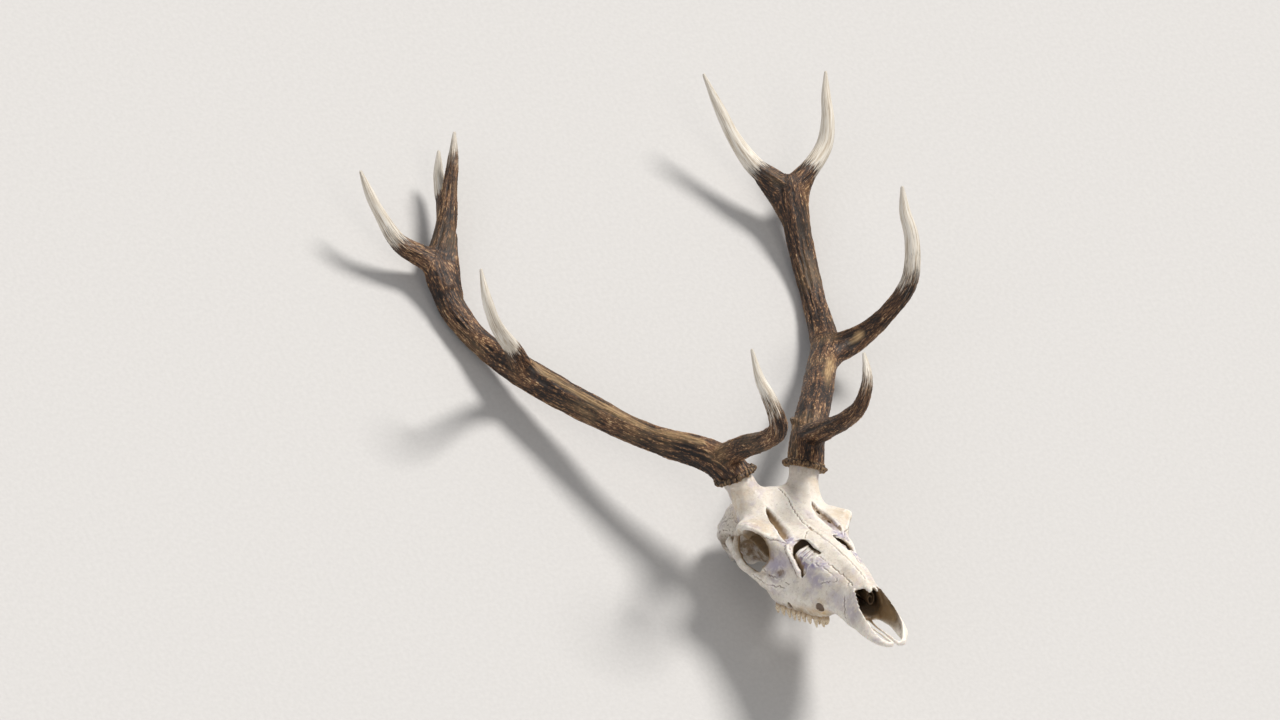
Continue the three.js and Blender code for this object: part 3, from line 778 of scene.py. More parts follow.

# %% [markdown]
# Bleaching and dirt follow the bone's shape and its place. Warm tones gather where grease and skin stayed
# longest, cool lilac ones where the bone is thinnest, and brown stains where rain doesn't reach. Brown is
# also painted as shade into the eye socket, onto the bar behind it and into the hollow behind that, and a
# grey-lilac painted shadow lies on the temple.

# %% Tones of the bone
# Each spot is a centre, radii and an amount, for both sides.
WARM = [
    ((52, 330, 130), (26, 30, 40), 0.8), ((66, 262, 112), (30, 34, 16), 0.6),
    ((76, 292, 96), (18, 20, 26), 0.5), ((42, 160, 14), (26, 76, 16), 1.0),
    ((44, 192, 26), (16, 20, 14), 0.8), ((44, 128, 30), (16, 20, 16), 0.8),
    ((20, 90, 74), (18, 40, 10), 0.35), ((60, 240, 50), (22, 26, 14), 0.5),
]
COOL = [
    ((42, 212, 106), (18, 26, 12), 1.0), ((40, 184, 84), (16, 34, 26), 1.0),
    ((34, 150, 88), (14, 30, 12), 1.0), ((44, 140, 66), (14, 28, 14), 0.8),
    ((60, 222, 72), (20, 26, 26), 0.75), ((42, 246, 112), (12, 26, 9), 0.7),
    # The temple spot at (54, 320, 112) is a grey-lilac painted shadow, not thin bone.
    ((54, 320, 112), (16, 22, 24), 0.6), ((30, 70, 40), (14, 30, 26), 0.45),
    ((36, 104, 50), (12, 22, 22), 0.4),
]
# The first seven spots, in the eye socket, in the groove over the eye, on the bar behind the eye and in the
# hollow behind it, are painted shade; the others are brown stains.
STAIN_AND_SHADE_SPOTS = [
    ((46, 262, 86), (28, 40, 32), 1.0), ((39, 264, 115), (11, 34, 14), 1.0),
    ((48, 318, 86), (24, 36, 34), 1.0), ((40, 316, 66), (28, 52, 38), 1.0),
    ((30, 290, 60), (30, 50, 30), 1.0), ((79, 290, 92), (12, 13, 30), 1.0),
    ((52, 290, 84), (29, 32, 32), 1.0), ((52, 366, 72), (22, 26, 18), 0.9),
    ((64, 214, 62), (14, 14, 9), 0.5), ((62, 236, 88), (16, 12, 16), 0.5),
    ((52, 180, 16), (16, 66, 8), 0.6), ((34, 120, 18), (12, 14, 8), 0.4),
    ((42, 372, 44), (16, 16, 10), 0.6), ((40, 342, 160), (26, 26, 12), 0.25),
]
NOSE_BACK = 236


def tone(mirrored, spots):
    """How strong a tone is at each point, from 0 to 1."""
    total = sum(amount * np.sqrt(near(mirrored, centre, radii)) for centre, radii, amount in spots)
    return np.clip(total, 0, 1)


def mark_bone(piece):
    """Keeps on the points how open, proud, hidden, warm and cool the bone is, and where it has brown stains;
    the finish paints shade and highlights from several of these.
    """
    points, normals, edges = points_of(piece), normals_of(piece), edges_of(piece)
    mirrored = fold_over(points)
    # The finish paints the bone darker as shade where little of the view is open.
    open_view = openness_of(points, normals, skull_tree)
    for _ in range(4):
        open_view = neighbour_mean(open_view, edges)
    # The eye socket's inside is marked like the inside of the nose, so that it is painted brown as shade.
    cup = np.linalg.norm((mirrored - np.array(ORBIT[0])) / (np.array(ORBIT[1]) * 1.05), axis=1)
    orbit = (1 - smooth_step(cup, 1.02, 1.16)) * (1 - smooth_step(mirrored[:, 0], 70, 83))
    hold(piece, "open_view", open_view)
    # Crests are painted lighter, partly as wear and partly as a highlight; creases are painted darker, as
    # dirt in the seams and as shade.
    hold(piece, "crest", np.clip(crest_of(piece, 3) * 4, -1, 1))
    # Broad hollows, where this is below 0, are painted darker as shade.
    hold(piece, "form", np.clip(crest_of(piece, 25) * 0.7, -1, 1))
    inward = np.clip(-normals[:, 0] * np.sign(points[:, 0]) * 1.6, 0, 1) * (mirrored[:, 1] < NOSE_BACK)
    inner = inward * smooth_step(mirrored[:, 1], 14, 50) * smooth_step(mirrored[:, 2], 12, 24)
    hold(piece, "inner", np.maximum(inner, 0.95 * orbit))
    hold(piece, "warm", tone(mirrored, WARM))
    hold(piece, "cool", tone(mirrored, COOL))
    hold(piece, "stain_and_painted_shade", tone(mirrored, STAIN_AND_SHADE_SPOTS))


skull_tree = BVHTree.FromPolygons(points_of(skull).tolist(), [tuple(f.vertices) for f in skull.data.polygons])
mark_bone(skull)

# %% [markdown]
# The skull is parted along the seam between the nose bones and the forehead, where the real face and
# braincase come apart. Both halves keep the measures taken on the whole.

# %% Part the face from the head
SEAM_PLACE = (0, 222, 112)
SEAM_NORMAL = (0, math.cos(math.radians(23.6)), math.sin(math.radians(23.6)))


def half(piece, front):
    """Keeps what lies in front of the seam, or what lies behind it, and closes the cut."""
    only(piece)
    bpy.ops.object.mode_set(mode="EDIT")
    bpy.ops.mesh.select_all(action="SELECT")
    bpy.ops.mesh.bisect(plane_co=SEAM_PLACE, plane_no=SEAM_NORMAL, clear_inner=not front, clear_outer=front,
                        use_fill=True)
    bpy.ops.object.mode_set(mode="OBJECT")
    return piece


cranium = skull.copy()
cranium.data = skull.data.copy()
bpy.context.scene.collection.objects.link(cranium)
face = half(skull, True)
half(cranium, False)

# %% [markdown]
# ## Teeth and scrolls of the nose
#
# A deer has six cheek teeth on each side: three premolars with one lobe and three molars with two. Each lobe
# is a tall outer wall and a lower inner crescent with a valley between, and the outer wall carries upright
# ribs. They are rods from the socket to the crown, remeshed finely so that the ribs and valleys stay sharp.

# %% Build the teeth
TOOTH_ROW_START = 127
TEETH = [(12, 1), (13, 1), (13, 1), (21, 2), (25, 2), (27, 2)]  # length, lobes
RIBS = [(0.16, 1.2, 2.4), (0.5, 1.2, 3.0), (0.84, 1.0, 1.9)]  # place along a lobe, radius, how proud
GUM, CROWN = 17, 0.0  # heights
TOOTH_SQUARE = 0.62


def tooth_row(side):
    """Six cheek teeth in a row, ground down with wear, with some seeded unevenness."""
    rods, start = [], TOOTH_ROW_START
    outer_line, inner_line = line(ALVEOLUS_OUTER), line(ALVEOLUS_INNER)
    chance = np.random.default_rng(7)
    for length, lobes in TEETH:
        step = (length - 1.6) / lobes
        for lobe in range(lobes):
            s = start + step * (lobe + 0.5)
            lean = chance.uniform(-1.3, 1.3)
            tip = CROWN + chance.uniform(-1.4, 2.6)
            out, into = outer_line(s)[0] - 3.4, inner_line(s)[0] + 4.6
            wide = max((out - into) * 0.3, 3.0)
            wall = [[out - 1.5, s, GUM + 9, 2.4], [out - 0.2, s, GUM + 2, 2.6], [out + 1.0, s, 12, 3.0],
                    [out + 0.8, s + lean, 5.5, 2.1], [out - 0.6, s + lean, tip - 0.8, 1.0]]
            rods.append(rod("outer_wall", wall, side, sides=18, steps=5, flat=(step - 2.4) / 2 / 3.0))
            crescent = [[into + 1.5, s, GUM + 9, 2.6], [into, s, GUM + 1, wide * 0.85],
                        [into - 0.6, s, 11, wide * 1.1], [into + 0.6, s + lean, 6, wide * 0.8],
                        [into + 2, s + lean, 2.6 + tip, 1.0]]
            rods.append(rod("inner_crescent", crescent, side, sides=18, steps=5,
                            flat=(step - 1.6) / 2 / wide / 1.1))
            middle = (out + into) / 2
            core = [[middle, s, GUM + 6, 3], [middle + 0.5, s, 13, 4], [middle + 0.8, s, 8.5, 2.5]]
            rods.append(rod("core", core, side, sides=14, steps=4, flat=(step - 1.2) / 2 / 4.0))
            for share, size, proud in RIBS:
                place = start + step * (lobe + share)
                end = tip + (0 if share == 0.5 else 4.5)
                rib = [[out - 0.2, place, GUM + 2, size], [out + proud, place, 11.5, size],
                       [out + proud - 0.9, place + lean, 5.5, size], [out + 0.4, place + lean, end, 0.8]]
                rods.append(rod("rib", rib, side, sides=8, steps=4))
        start += length
    row = remesh(merge(*rods), TOOTH_SQUARE)
    relax(row, 1)
    points = points_of(row)
    put_points(row, points + normals_of(row) * (0.22 * rough(points * [1, 1, 0.35], 1.7, 31))[:, None])
    points = points_of(row)
    hold(row, "height", smooth_step(points[:, 2], 1.0, 17.0))
    hold(row, "crest", np.clip(crest_of(row, 5) * 2.2, -1, 1))
    # How open the view is; the enamel is painted darker as shade where it is low.
    hold(row, "open_view", openness_of(points, normals_of(row), skull_tree))
    return row


teeth = {name: tooth_row(side) for name, side in SIDES.items()}

# %% [markdown]
# Inside the nose, paper-thin scrolls of bone once carried the lining that smells and warms the air. They show
# through the gap in front of the eye and through the opening of the nose. Each is a sheet wound in the plane
# across the nose and run along it, with a torn front edge.


# %% Build the scrolls
HALF_SHEET = 0.45
SCROLL_WIDTH = 0.62  # as a share of its height
PLATE_THICKNESS = 1.2
PLATE_START, PLATE_END = 158, 204


def scroll(name, side, centre_rows, size, turns, start, end, seed):
    """A wound sheet of bone that runs from start to end along the nose."""
    curve = line(centre_rows)
    angle = np.linspace(0.4, turns * 2 * math.pi, 34)
    rings = []
    for s in np.linspace(start, end, 30):
        x, z = curve(s)
        shrink = 0.7 + 0.3 * math.sin(math.pi * (s - start) / (end - start))
        radius = size * shrink * (0.25 + 0.75 * angle / angle[-1])
        wave = 0.6 * np.array([noise.noise((a, s / 9, seed)) for a in angle])
        flat = np.column_stack([np.cos(angle), np.sin(angle)])
        inner = flat * (radius + wave - HALF_SHEET)[:, None]
        outer = flat * (radius + wave + HALF_SHEET)[:, None]
        both = np.vstack([outer, inner[::-1]]) * [SCROLL_WIDTH, 1.0]
        torn = 2.5 * noise.noise((s / 3, seed, 0.5))
        rings.append(np.column_stack([side * (x + both[:, 0]), np.full(len(both), s) + torn * (s < start + 4),
                                      z + both[:, 1]]))
    return skin(name, rings)


def gap_plate(side):
    """The thin plate that lies a little way inside the front part of the gap before the eye."""
    lower, middle, upper = line(MIDDLE_SIDE), line(UPPER_SIDE), line(NASAL_EDGE)
    rings = []
    for s in np.linspace(PLATE_START, PLATE_END, 38):
        corners = [[*lower(s)], [*middle(s)], [*upper(s)]]
        arc = through(corners, 9)
        along = np.gradient(arc, axis=0)
        into = np.column_stack([-along[:, 1], along[:, 0]])
        into /= np.linalg.norm(into, axis=1)[:, None]
        torn = 1.0 - 0.1 * abs(noise.noise((s / 3.0, side * 2.0, 0.3))) * (s > 178)
        uneven = np.array([noise.noise((s / 7, k / 4, side)) for k in range(len(arc))])
        sunk = (5.0 + 5.0 * smooth_step(s, 166, 200) + 1.6 * uneven) * np.linspace(1.0, 0.5, len(arc))
        outer = arc[0] + (arc - arc[0]) * torn + into * sunk[:, None]
        both = np.vstack([outer, (outer + into * PLATE_THICKNESS)[::-1]])
        rings.append(np.column_stack([side * both[:, 0], np.full(len(both), s), both[:, 1]]))
    return skin("gap_plate", rings)


scrolls = {}
for name, side in SIDES.items():
    pair = [scroll("scroll", side, [[84, 11, 44], [150, 17, 56], [226, 24, 66]], 16, 1.4, 88, 214, 1.5),
            scroll("scroll", side, [[90, 8, 60], [160, 13, 82], [226, 18, 88]], 9, 1.2, 94, 218, 4.5),
            scroll("scroll", side, [[170, 33, 60], [226, 38, 72]], 8, 1.1, 172, 220, 8.5)]
    scrolls[name] = merge(*pair, gap_plate(side))
    mark_bone(scrolls[name])

# %% [markdown]
# ## Antlers
#
# An antler is bone too, one piece from the coronet to the tips, with a skin of long grooves where the blood
# vessels of the velvet lay and of small pearls between them. Each limb is a rod. The rods are remeshed into
# one body, the forks are relaxed into webs, and the grooves are pressed in along each limb's own length.

# %% Paths of the antlers
# BURR is the middle of the left coronet's underside. Rows are outwards, backwards and up from it, then the
# radius. A limb whose name ends in web only fills a fork, and has no pattern of its own.
BURR = np.array([54, 342, 166])
PEDICLE_AXIS = np.array([0.33, 0.21, 0.92]) / np.linalg.norm([0.33, 0.21, 0.92])
LIMBS = {
    "left": {
        "beam": [[-9, -6, -20, 23], [0, 0, 0, 25], [20, 25, 38, 24], [77, 101, 69, 22], [134, 186, 82, 21],
                 [186, 262, 97, 20.5], [214, 338, 136, 17], [226, 390, 186, 17.5], [231, 426, 245, 19],
                 [233, 446, 284, 17], [234, 452, 296, 12]],
        "brow": [[14, 14, 42, 17], [11, -39, 64, 14.5], [9, -94, 89, 11.5], [14, -128, 118, 10],
                 [23, -128, 145, 8], [29, -117, 162, 6], [33, -102, 183, 2.2]],
        "trez": [[176, 262, 94, 18], [213, 240, 105, 16.5], [248, 209, 142, 12.5], [277, 189, 193, 12],
                 [285, 195, 251, 10.5], [281, 208, 290, 8], [281, 216, 324, 2.4]],
        "outer": [[233, 444, 278, 17], [268, 452, 300, 14], [298, 460, 331, 12], [308, 467, 366, 9.5],
                  [312, 479, 396, 7], [319, 493, 430, 2.2]],
        "inner": [[233, 444, 278, 17], [197, 473, 307, 14], [175, 498, 347, 10], [160, 518, 391, 7.5],
                  [146, 537, 436, 2.2]],
        "nub": [[26, 40, 44, 10], [14, 44, 52, 7.5], [5, 46, 63, 3]],
        "trez_web": [[128, 176, 84, 13], [176, 222, 92, 14], [222, 224, 112, 14], [250, 207, 144, 10]],
        "inner_web": [[228, 404, 214, 14], [221, 440, 258, 14], [202, 468, 296, 12]],
        "outer_web": [[231, 410, 222, 14], [246, 440, 266, 14], [268, 451, 298, 12]],
    },
    "right": {
        "beam": [[-9, -6, -20, 23], [0, 0, 0, 25], [19, 23, 24, 24], [80, 99, 46, 18], [134, 184, 77, 20.5],
                 [185, 268, 115, 21.5], [215, 341, 148, 17], [228, 390, 184, 18.5], [231, 422, 222, 19],
                 [232, 436, 242, 15]],
        "brow": [[14, 16, 28, 17], [10, -42, 56, 15.5], [8, -97, 77, 13.5], [10, -132, 103, 12.5],
                 [23, -128, 144, 9.5], [30, -115, 168, 7], [33, -97, 207, 2.2]],
        "trez": [[184, 268, 118, 15], [216, 245, 158, 12], [249, 215, 188, 10], [273, 193, 215, 8.5],
                 [284, 192, 245, 7], [284, 209, 284, 2.2]],
        "outer": [[232, 438, 240, 17], [278, 450, 269, 12.5], [305, 462, 315, 8.5], [314, 472, 340, 7],
                  [321, 486, 370, 2.2]],
        "inner": [[228, 436, 238, 17], [196, 467, 283, 15], [174, 496, 329, 10.5], [158, 516, 366, 7],
                  [147, 532, 397, 2.2]],
        "back": [[212, 452, 262, 11], [195, 476, 288, 10.5], [184, 498, 306, 10], [177, 518, 320, 9],
                 [168, 540, 341, 7], [161, 552, 368, 2.4]],
        "trez_web": [[150, 208, 92, 12], [186, 250, 122, 13], [220, 243, 160, 10]],
        "inner_web": [[224, 398, 196, 15], [212, 432, 238, 15], [198, 458, 270, 14]],
        "outer_web": [[230, 400, 206, 14], [248, 436, 248, 13], [274, 449, 268, 11]],
    },
}
# From where to where, as shares of its length, each limb turns from brown bark to rubbed ivory.
RUBBED = {
    "left": {"brow": (0.58, 1.1), "trez": (0.3, 0.86), "outer": (0.1, 0.36), "inner": (0.1, 0.38),
             "nub": (0.6, 1.4)},
    "right": {"brow": (0.5, 0.95), "trez": (0.1, 0.42), "outer": (0.16, 0.6), "inner": (0.55, 1.25),
              "back": (0.34, 0.7)},
}
NEVER_RUBBED = (2, 3)  # shares past the end of any limb
# Golden tan ridges along the lower beams: on the left along the front, rubbed; on the right along the top, a
# painted highlight.
TAN_RIDGE_WEAR_AND_HIGHLIGHT = {
    "left": [[20, -2, 44], [58, 60, 66], [108, 128, 90], [166, 196, 104], [214, 216, 120]],
    "right": [[40, 30, 50], [90, 90, 66], [140, 176, 99], [190, 262, 138]],
}
SQUARE_OF_BARK = 1.65


def in_head(rows, side=1):
    """Rows from the coronet's middle, moved into the head's frame; the rest of a row stays as it is."""
    rows = np.array(rows, float)
    rows[:, :3] += BURR
    rows[:, 0] *= side
    return rows


# %% [markdown]
# The coronet is the beaded ring where the antler left the bone. Its beads are little stretched balls, set
# round by a loop with seeded differences, in a large row with a smaller row above and below. A finer remesh
# than the beam's keeps them crisp.

# %% Coronet
CORONET_BEADS = 29
BEAD_ROWS = [(28.6, 4.6, 3.7, 0.0), (26.6, 8.2, 2.6, 0.5), (27.4, 1.8, 2.2, 0.3)]  # ring, height, size, turn
CORE_RING, CORE_THICKNESS, CORE_HEIGHT = 24.5, 4.4, 4.7  # the plain ring that the beads sit on
CORONET_SQUARE = 0.85


def coronet(side, chance):
    """The ring of beads round an antler's foot."""
    axis = PEDICLE_AXIS * [side, 1, 1]
    first = np.cross(axis, [0, 1, 0])
    first /= np.linalg.norm(first)
    second = np.cross(axis, first)
    centre = BURR * [side, 1, 1]
    bpy.ops.mesh.primitive_torus_add(major_radius=CORE_RING, minor_radius=CORE_THICKNESS,
                                     major_segments=48, minor_segments=16)
    ring = bpy.context.object
    turn = Matrix(np.column_stack([first, second, axis]).tolist()).to_4x4()
    ring.data.transform(Matrix.Translation(centre + CORE_HEIGHT * axis) @ turn)
    beads = [ring]
    for radius, height, size, offset in BEAD_ROWS:
        for i in range(CORONET_BEADS):
            angle = 2 * math.pi * (i + offset + chance.uniform(-0.25, 0.25)) / CORONET_BEADS
            out = math.cos(angle) * first + math.sin(angle) * second
            reach = radius + chance.uniform(-1.2, 1)
            rise = height + chance.uniform(-1, 1)
            bead = size * chance.uniform(0.72, 1.18)
            tall = bead * chance.uniform(0.8, 1.2)
            where = centre + reach * out + rise * axis
            beads.append(ball("bead", where, (bead, bead, tall), segments=12, rings=8))
    made = remesh(merge(*beads), CORONET_SQUARE)
    relax(made, 2)
    points = points_of(made)
    put_points(made, points + normals_of(made) * 0.35 * rough(points, 2.6, 5)[:, None])
    height = (points - centre) @ axis
    hold(made, "rubbed", np.zeros(len(points)))
    hold(made, "groove", 1.7 * crest_of(made, 6) - 0.7)
    hold(made, "coronet", smooth_step(-height, -2.0, 0.5) * 0.7)
    # The bead tops are painted tan: partly wear, partly a painted highlight.
    hold(made, "wear_and_highlight", np.clip(1.5 * crest_of(made, 6), 0, 1))
    hold(made, "grain", points * MM)
    return made


# %% [markdown]
# ## Bark of the antlers
#
# To run a groove along a bent limb, each point of the skin needs to know its limb: how far along it lies, and
# in which direction from the middle. Noise read in those numbers, squeezed round the limb and drawn out along
# it, gives grooves that bend with the antler. Where limbs meet, their patterns fade into each other.


# %% Where a point lies on the limbs
ROUND = 20.0  # a limb's pattern is read on a tube of this radius, so its grooves narrow where it tapers
BATCH = 8000  # points that are measured at once, to save memory


def limb_places(points, side, limbs):
    """For each limb: the gap from its surface, the share of its length, and the place round and along it."""
    found = {}
    for name, rows in limbs.items():
        centre, along, across, beside, radius = path_of(in_head(rows), side, 40)
        run = np.concatenate([[0], np.cumsum(np.linalg.norm(np.diff(centre, axis=0), axis=1))])
        nearest = np.empty(len(points), int)
        for start in range(0, len(points), BATCH):
            part = points[start:start + BATCH]
            nearest[start:start + BATCH] = ((centre**2).sum(1) - 2 * part @ centre.T).argmin(1)
        off = points - centre[nearest]
        x, y = np.sum(off * across[nearest], axis=1), np.sum(off * beside[nearest], axis=1)
        flat = np.maximum(np.hypot(x, y), 1e-6)
        way = run[nearest] + np.sum(off * along[nearest], axis=1)
        found[name] = {"gap": np.linalg.norm(off, axis=1) - radius[nearest],
                       "share": np.clip(way / run[-1], 0, 1.05),
                       "round": np.column_stack([ROUND * x / flat, ROUND * y / flat, way])}
    return found


# %% Build an antler
FOOT_CUT = 2.0  # how far above the coronet's underside the beam is cut off
WEB_FILLS = 60
LIMB_SHIFT = 400  # keeps the patterns of two limbs apart
GROOVE_LIFT, PEARL_LIFT = 1.45, 1.3


def antler_form(name, side):
    """The limbs of one antler as one body, cut square at the foot, with webs in its forks."""
    limbs = LIMBS[name]
    rods = [rod("limb", in_head(rows), side, sides=32, steps=16) for rows in limbs.values()]
    axis = PEDICLE_AXIS * [side, 1, 1]
    only(rods[0])
    bpy.ops.object.mode_set(mode="EDIT")
    bpy.ops.mesh.select_all(action="SELECT")
    bpy.ops.mesh.bisect(plane_co=BURR * [side, 1, 1] + FOOT_CUT * axis, plane_no=axis, clear_inner=True,
                        use_fill=True)
    bpy.ops.object.mode_set(mode="OBJECT")
    body = remesh(merge(*rods), SQUARE_OF_BARK)
    relax(body, 1)
    return body


def bark(body, name, side, seed):
    """Presses the grooves in, and keeps what the finish needs on the points."""
    limbs = LIMBS[name]
    points = points_of(body)
    places = limb_places(points, side, limbs)
    gaps = np.sort(np.column_stack([place["gap"] for place in places.values()]), axis=1)
    height = (points - BURR * [side, 1, 1]) @ (PEDICLE_AXIS * [side, 1, 1])
    web = (1 - smooth_step(gaps[:, 1], 4, 16)) * smooth_step(height, 8, 16)
    edges = edges_of(body)
    for _ in range(WEB_FILLS):
        inward = neighbour_mean(points, edges) - points
        put_points(body, points)
        hollow = np.sum(inward * normals_of(body), axis=1) > -0.01
        points = points + PULL * (web * np.where(hollow, 1.0, 0.2))[:, None] * inward
    put_points(body, points)

    main = {key: place for key, place in places.items() if not key.endswith("web")}
    weight = {key: np.exp(-(place["gap"] - gaps[:, 0]) / 4.0) for key, place in main.items()}
    total = sum(weight.values())
    groove, rubbed, best = np.zeros(len(points)), np.zeros(len(points)), np.zeros(len(points))
    grain = np.zeros((len(points), 3))
    for i, (key, place) in enumerate(main.items()):
        share = weight[key] / total
        use = share > 0.02
        q = place["round"][use] + [0, 0, LIMB_SHIFT * i]
        fade = 1 - smooth_step(place["share"][use], *RUBBED[name].get(key, NEVER_RUBBED))
        twist = 3.0 * rough(q * [0.3, 0.3, 1], 60, seed + 60)
        q = q + np.column_stack([twist, -twist, 0 * twist])
        deep = rough(q * [1, 1, 0.045], 8.0, seed + i)
        ridges = 0.4 - np.abs(rough(q * [1, 1, 0.07], 5.6, seed + 20 + i)) * 2.2
        fine = rough(q * [1, 1, 0.12], 3.2, seed + 40 + i)
        groove[use] += share[use] * (0.45 * deep + 1.0 * ridges + 0.9 * fine) * (0.1 + 0.9 * fade)
        rubbed[use] += share[use] * (1 - fade)
        take = share > best
        grain[take] = place["round"][take] + [0, 0, LIMB_SHIFT * i]
        best = np.maximum(best, share)
    pearls = np.clip(rough(points, 4.6, seed + 80) - 0.1, 0, 1) * (1 - rubbed)
    low = 0.4 + 0.6 * (1 - smooth_step(height, 30, 160))
    lift = GROOVE_LIFT * groove + PEARL_LIFT * pearls * low
    put_points(body, points + normals_of(body) * lift[:, None])
    # Tan near a ridge path: rubbing on the left beam, a painted highlight along the top of the right one;
    # with broad patches of wear.
    ridge, _ = from_path(points, in_head(TAN_RIDGE_WEAR_AND_HIGHLIGHT[name], side))
    wear_and_highlight = np.clip(1.2 - ridge / 8, 0, 1) + 0.5 * np.clip(rough(points, 45, seed + 90), 0, 1)
    hold(body, "groove", groove + 0.8 * pearls)
    hold(body, "rubbed", rubbed)
    hold(body, "coronet", np.zeros(len(points)))
    hold(body, "wear_and_highlight", np.clip(wear_and_highlight, 0, 1) * (1 - rubbed))
    hold(body, "grain", grain * MM)
    return body


antlers, coronets = {}, {}
for (name, side), seed in zip(SIDES.items(), (11, 23)):
    antlers[name] = bark(antler_form(name, side), name, side, seed)
    coronets[name] = coronet(side, np.random.default_rng(seed))

# %% [markdown]
# ## Finishes
#
# Every finish is made of noise at sizes named in millimetres and of the measures held by the points. Colours
# are written as a screen shows them and turned into light by one function.


# %% Tools for finishes
def colour(shown):
    """A colour as a screen shows it, in the amounts of light that shaders add up."""
    parts = [int(shown[i:i + 2], 16) / 255 for i in (0, 2, 4)]
    return (*[c / 12.92 if c <= 0.04045 else ((c + 0.055) / 1.055) ** 2.4 for c in parts], 1)


def add(tree, kind, settings=None, **inputs):
    """Adds a node. An input is a value or another node's output; _ stands for a blank, _6 for input 6."""
    made = tree.nodes.new("ShaderNode" + kind)
    for key, value in (settings or {}).items():
        setattr(made, key, value)
    for key, value in inputs.items():
        socket = made.inputs[int(key[1:]) if key[1:].isdigit() else key.replace("_", " ")]
        if isinstance(value, bpy.types.NodeSocket):
            tree.links.new(value, socket)
        else:
            socket.default_value = value
    return made


def blend(tree, share, low, high):
    """The low colour where the share is 0, and the high one where it is 1."""
    return add(tree, "Mix", {"data_type": "RGBA"}, _0=share, _6=low, _7=high).outputs[2]


def held(tree, name):
    """A measure that the piece's points hold."""
    return add(tree, "Attribute", {"attribute_name": name}).outputs["Fac"]


def calc(tree, operation, a, b):
    """Two numbers added, subtracted or multiplied."""
    return add(tree, "Math", {"operation": operation}, _0=a, _1=b).outputs[0]


def spread(tree, value, low, high, to_low=0.0, to_high=1.0):
    """Turns values from low to high into to_low to to_high, and stops at both ends."""
    made = add(tree, "MapRange", {"interpolation_type": "SMOOTHSTEP"}, Value=value, From_Min=low,
               From_Max=high, To_Min=to_low, To_Max=to_high)
    return made.outputs[0]


def lumps(tree, place, size, detail=3, roughness=0.55, stretch=None):
    """Noise with lumps this many millimetres across, wider along an axis whose stretch is below 1."""
    if stretch:
        place = add(tree, "VectorMath", {"operation": "MULTIPLY"}, _0=place, _1=stretch).outputs[0]
    made = add(tree, "TexNoise", Vector=place, Scale=1 / (size * MM), Detail=detail, Roughness=roughness)
    return made.outputs[0]


def ramp(tree, value, *stops):
    """A row of colours; each stop is a place from 0 to 1 and a colour."""
    made = add(tree, "ValToRGB", Fac=value)
    band = made.color_ramp
    for i, (where, shown) in enumerate(stops):
        stop = band.elements[i] if i < 2 else band.elements.new(where)
        stop.position, stop.color = where, colour(shown)
    return made.outputs[0]


def finish(name):
    """A new material: its tree, its shader, and the place on the piece in metres."""
    material = bpy.data.materials.new(name)
    material.use_nodes = True
    tree = material.node_tree
    return material, tree, tree.nodes["Principled BSDF"], add(tree, "TexCoord").outputs["Object"]


def close(tree, shader, base, roughness, height, depth):
    """Joins the colour, the roughness and a relief of this many millimetres to the shader."""
    tree.links.new(base, shader.inputs["Base Color"])
    tree.links.new(roughness, shader.inputs["Roughness"])
    relief = add(tree, "Bump", Strength=1.0, Distance=depth * MM, Height=height).outputs[0]
    tree.links.new(relief, shader.inputs["Normal"])


# %% [markdown]
# Bleached bone isn't white: it is ivory, warm where grease stayed, lilac where it is thin and the dark inside
# shows through, and pitted by fine pores. Its hollows, creases and eye sockets are painted brown and grey as
# shade, and its crests are painted lighter, partly as wear and partly as a highlight.


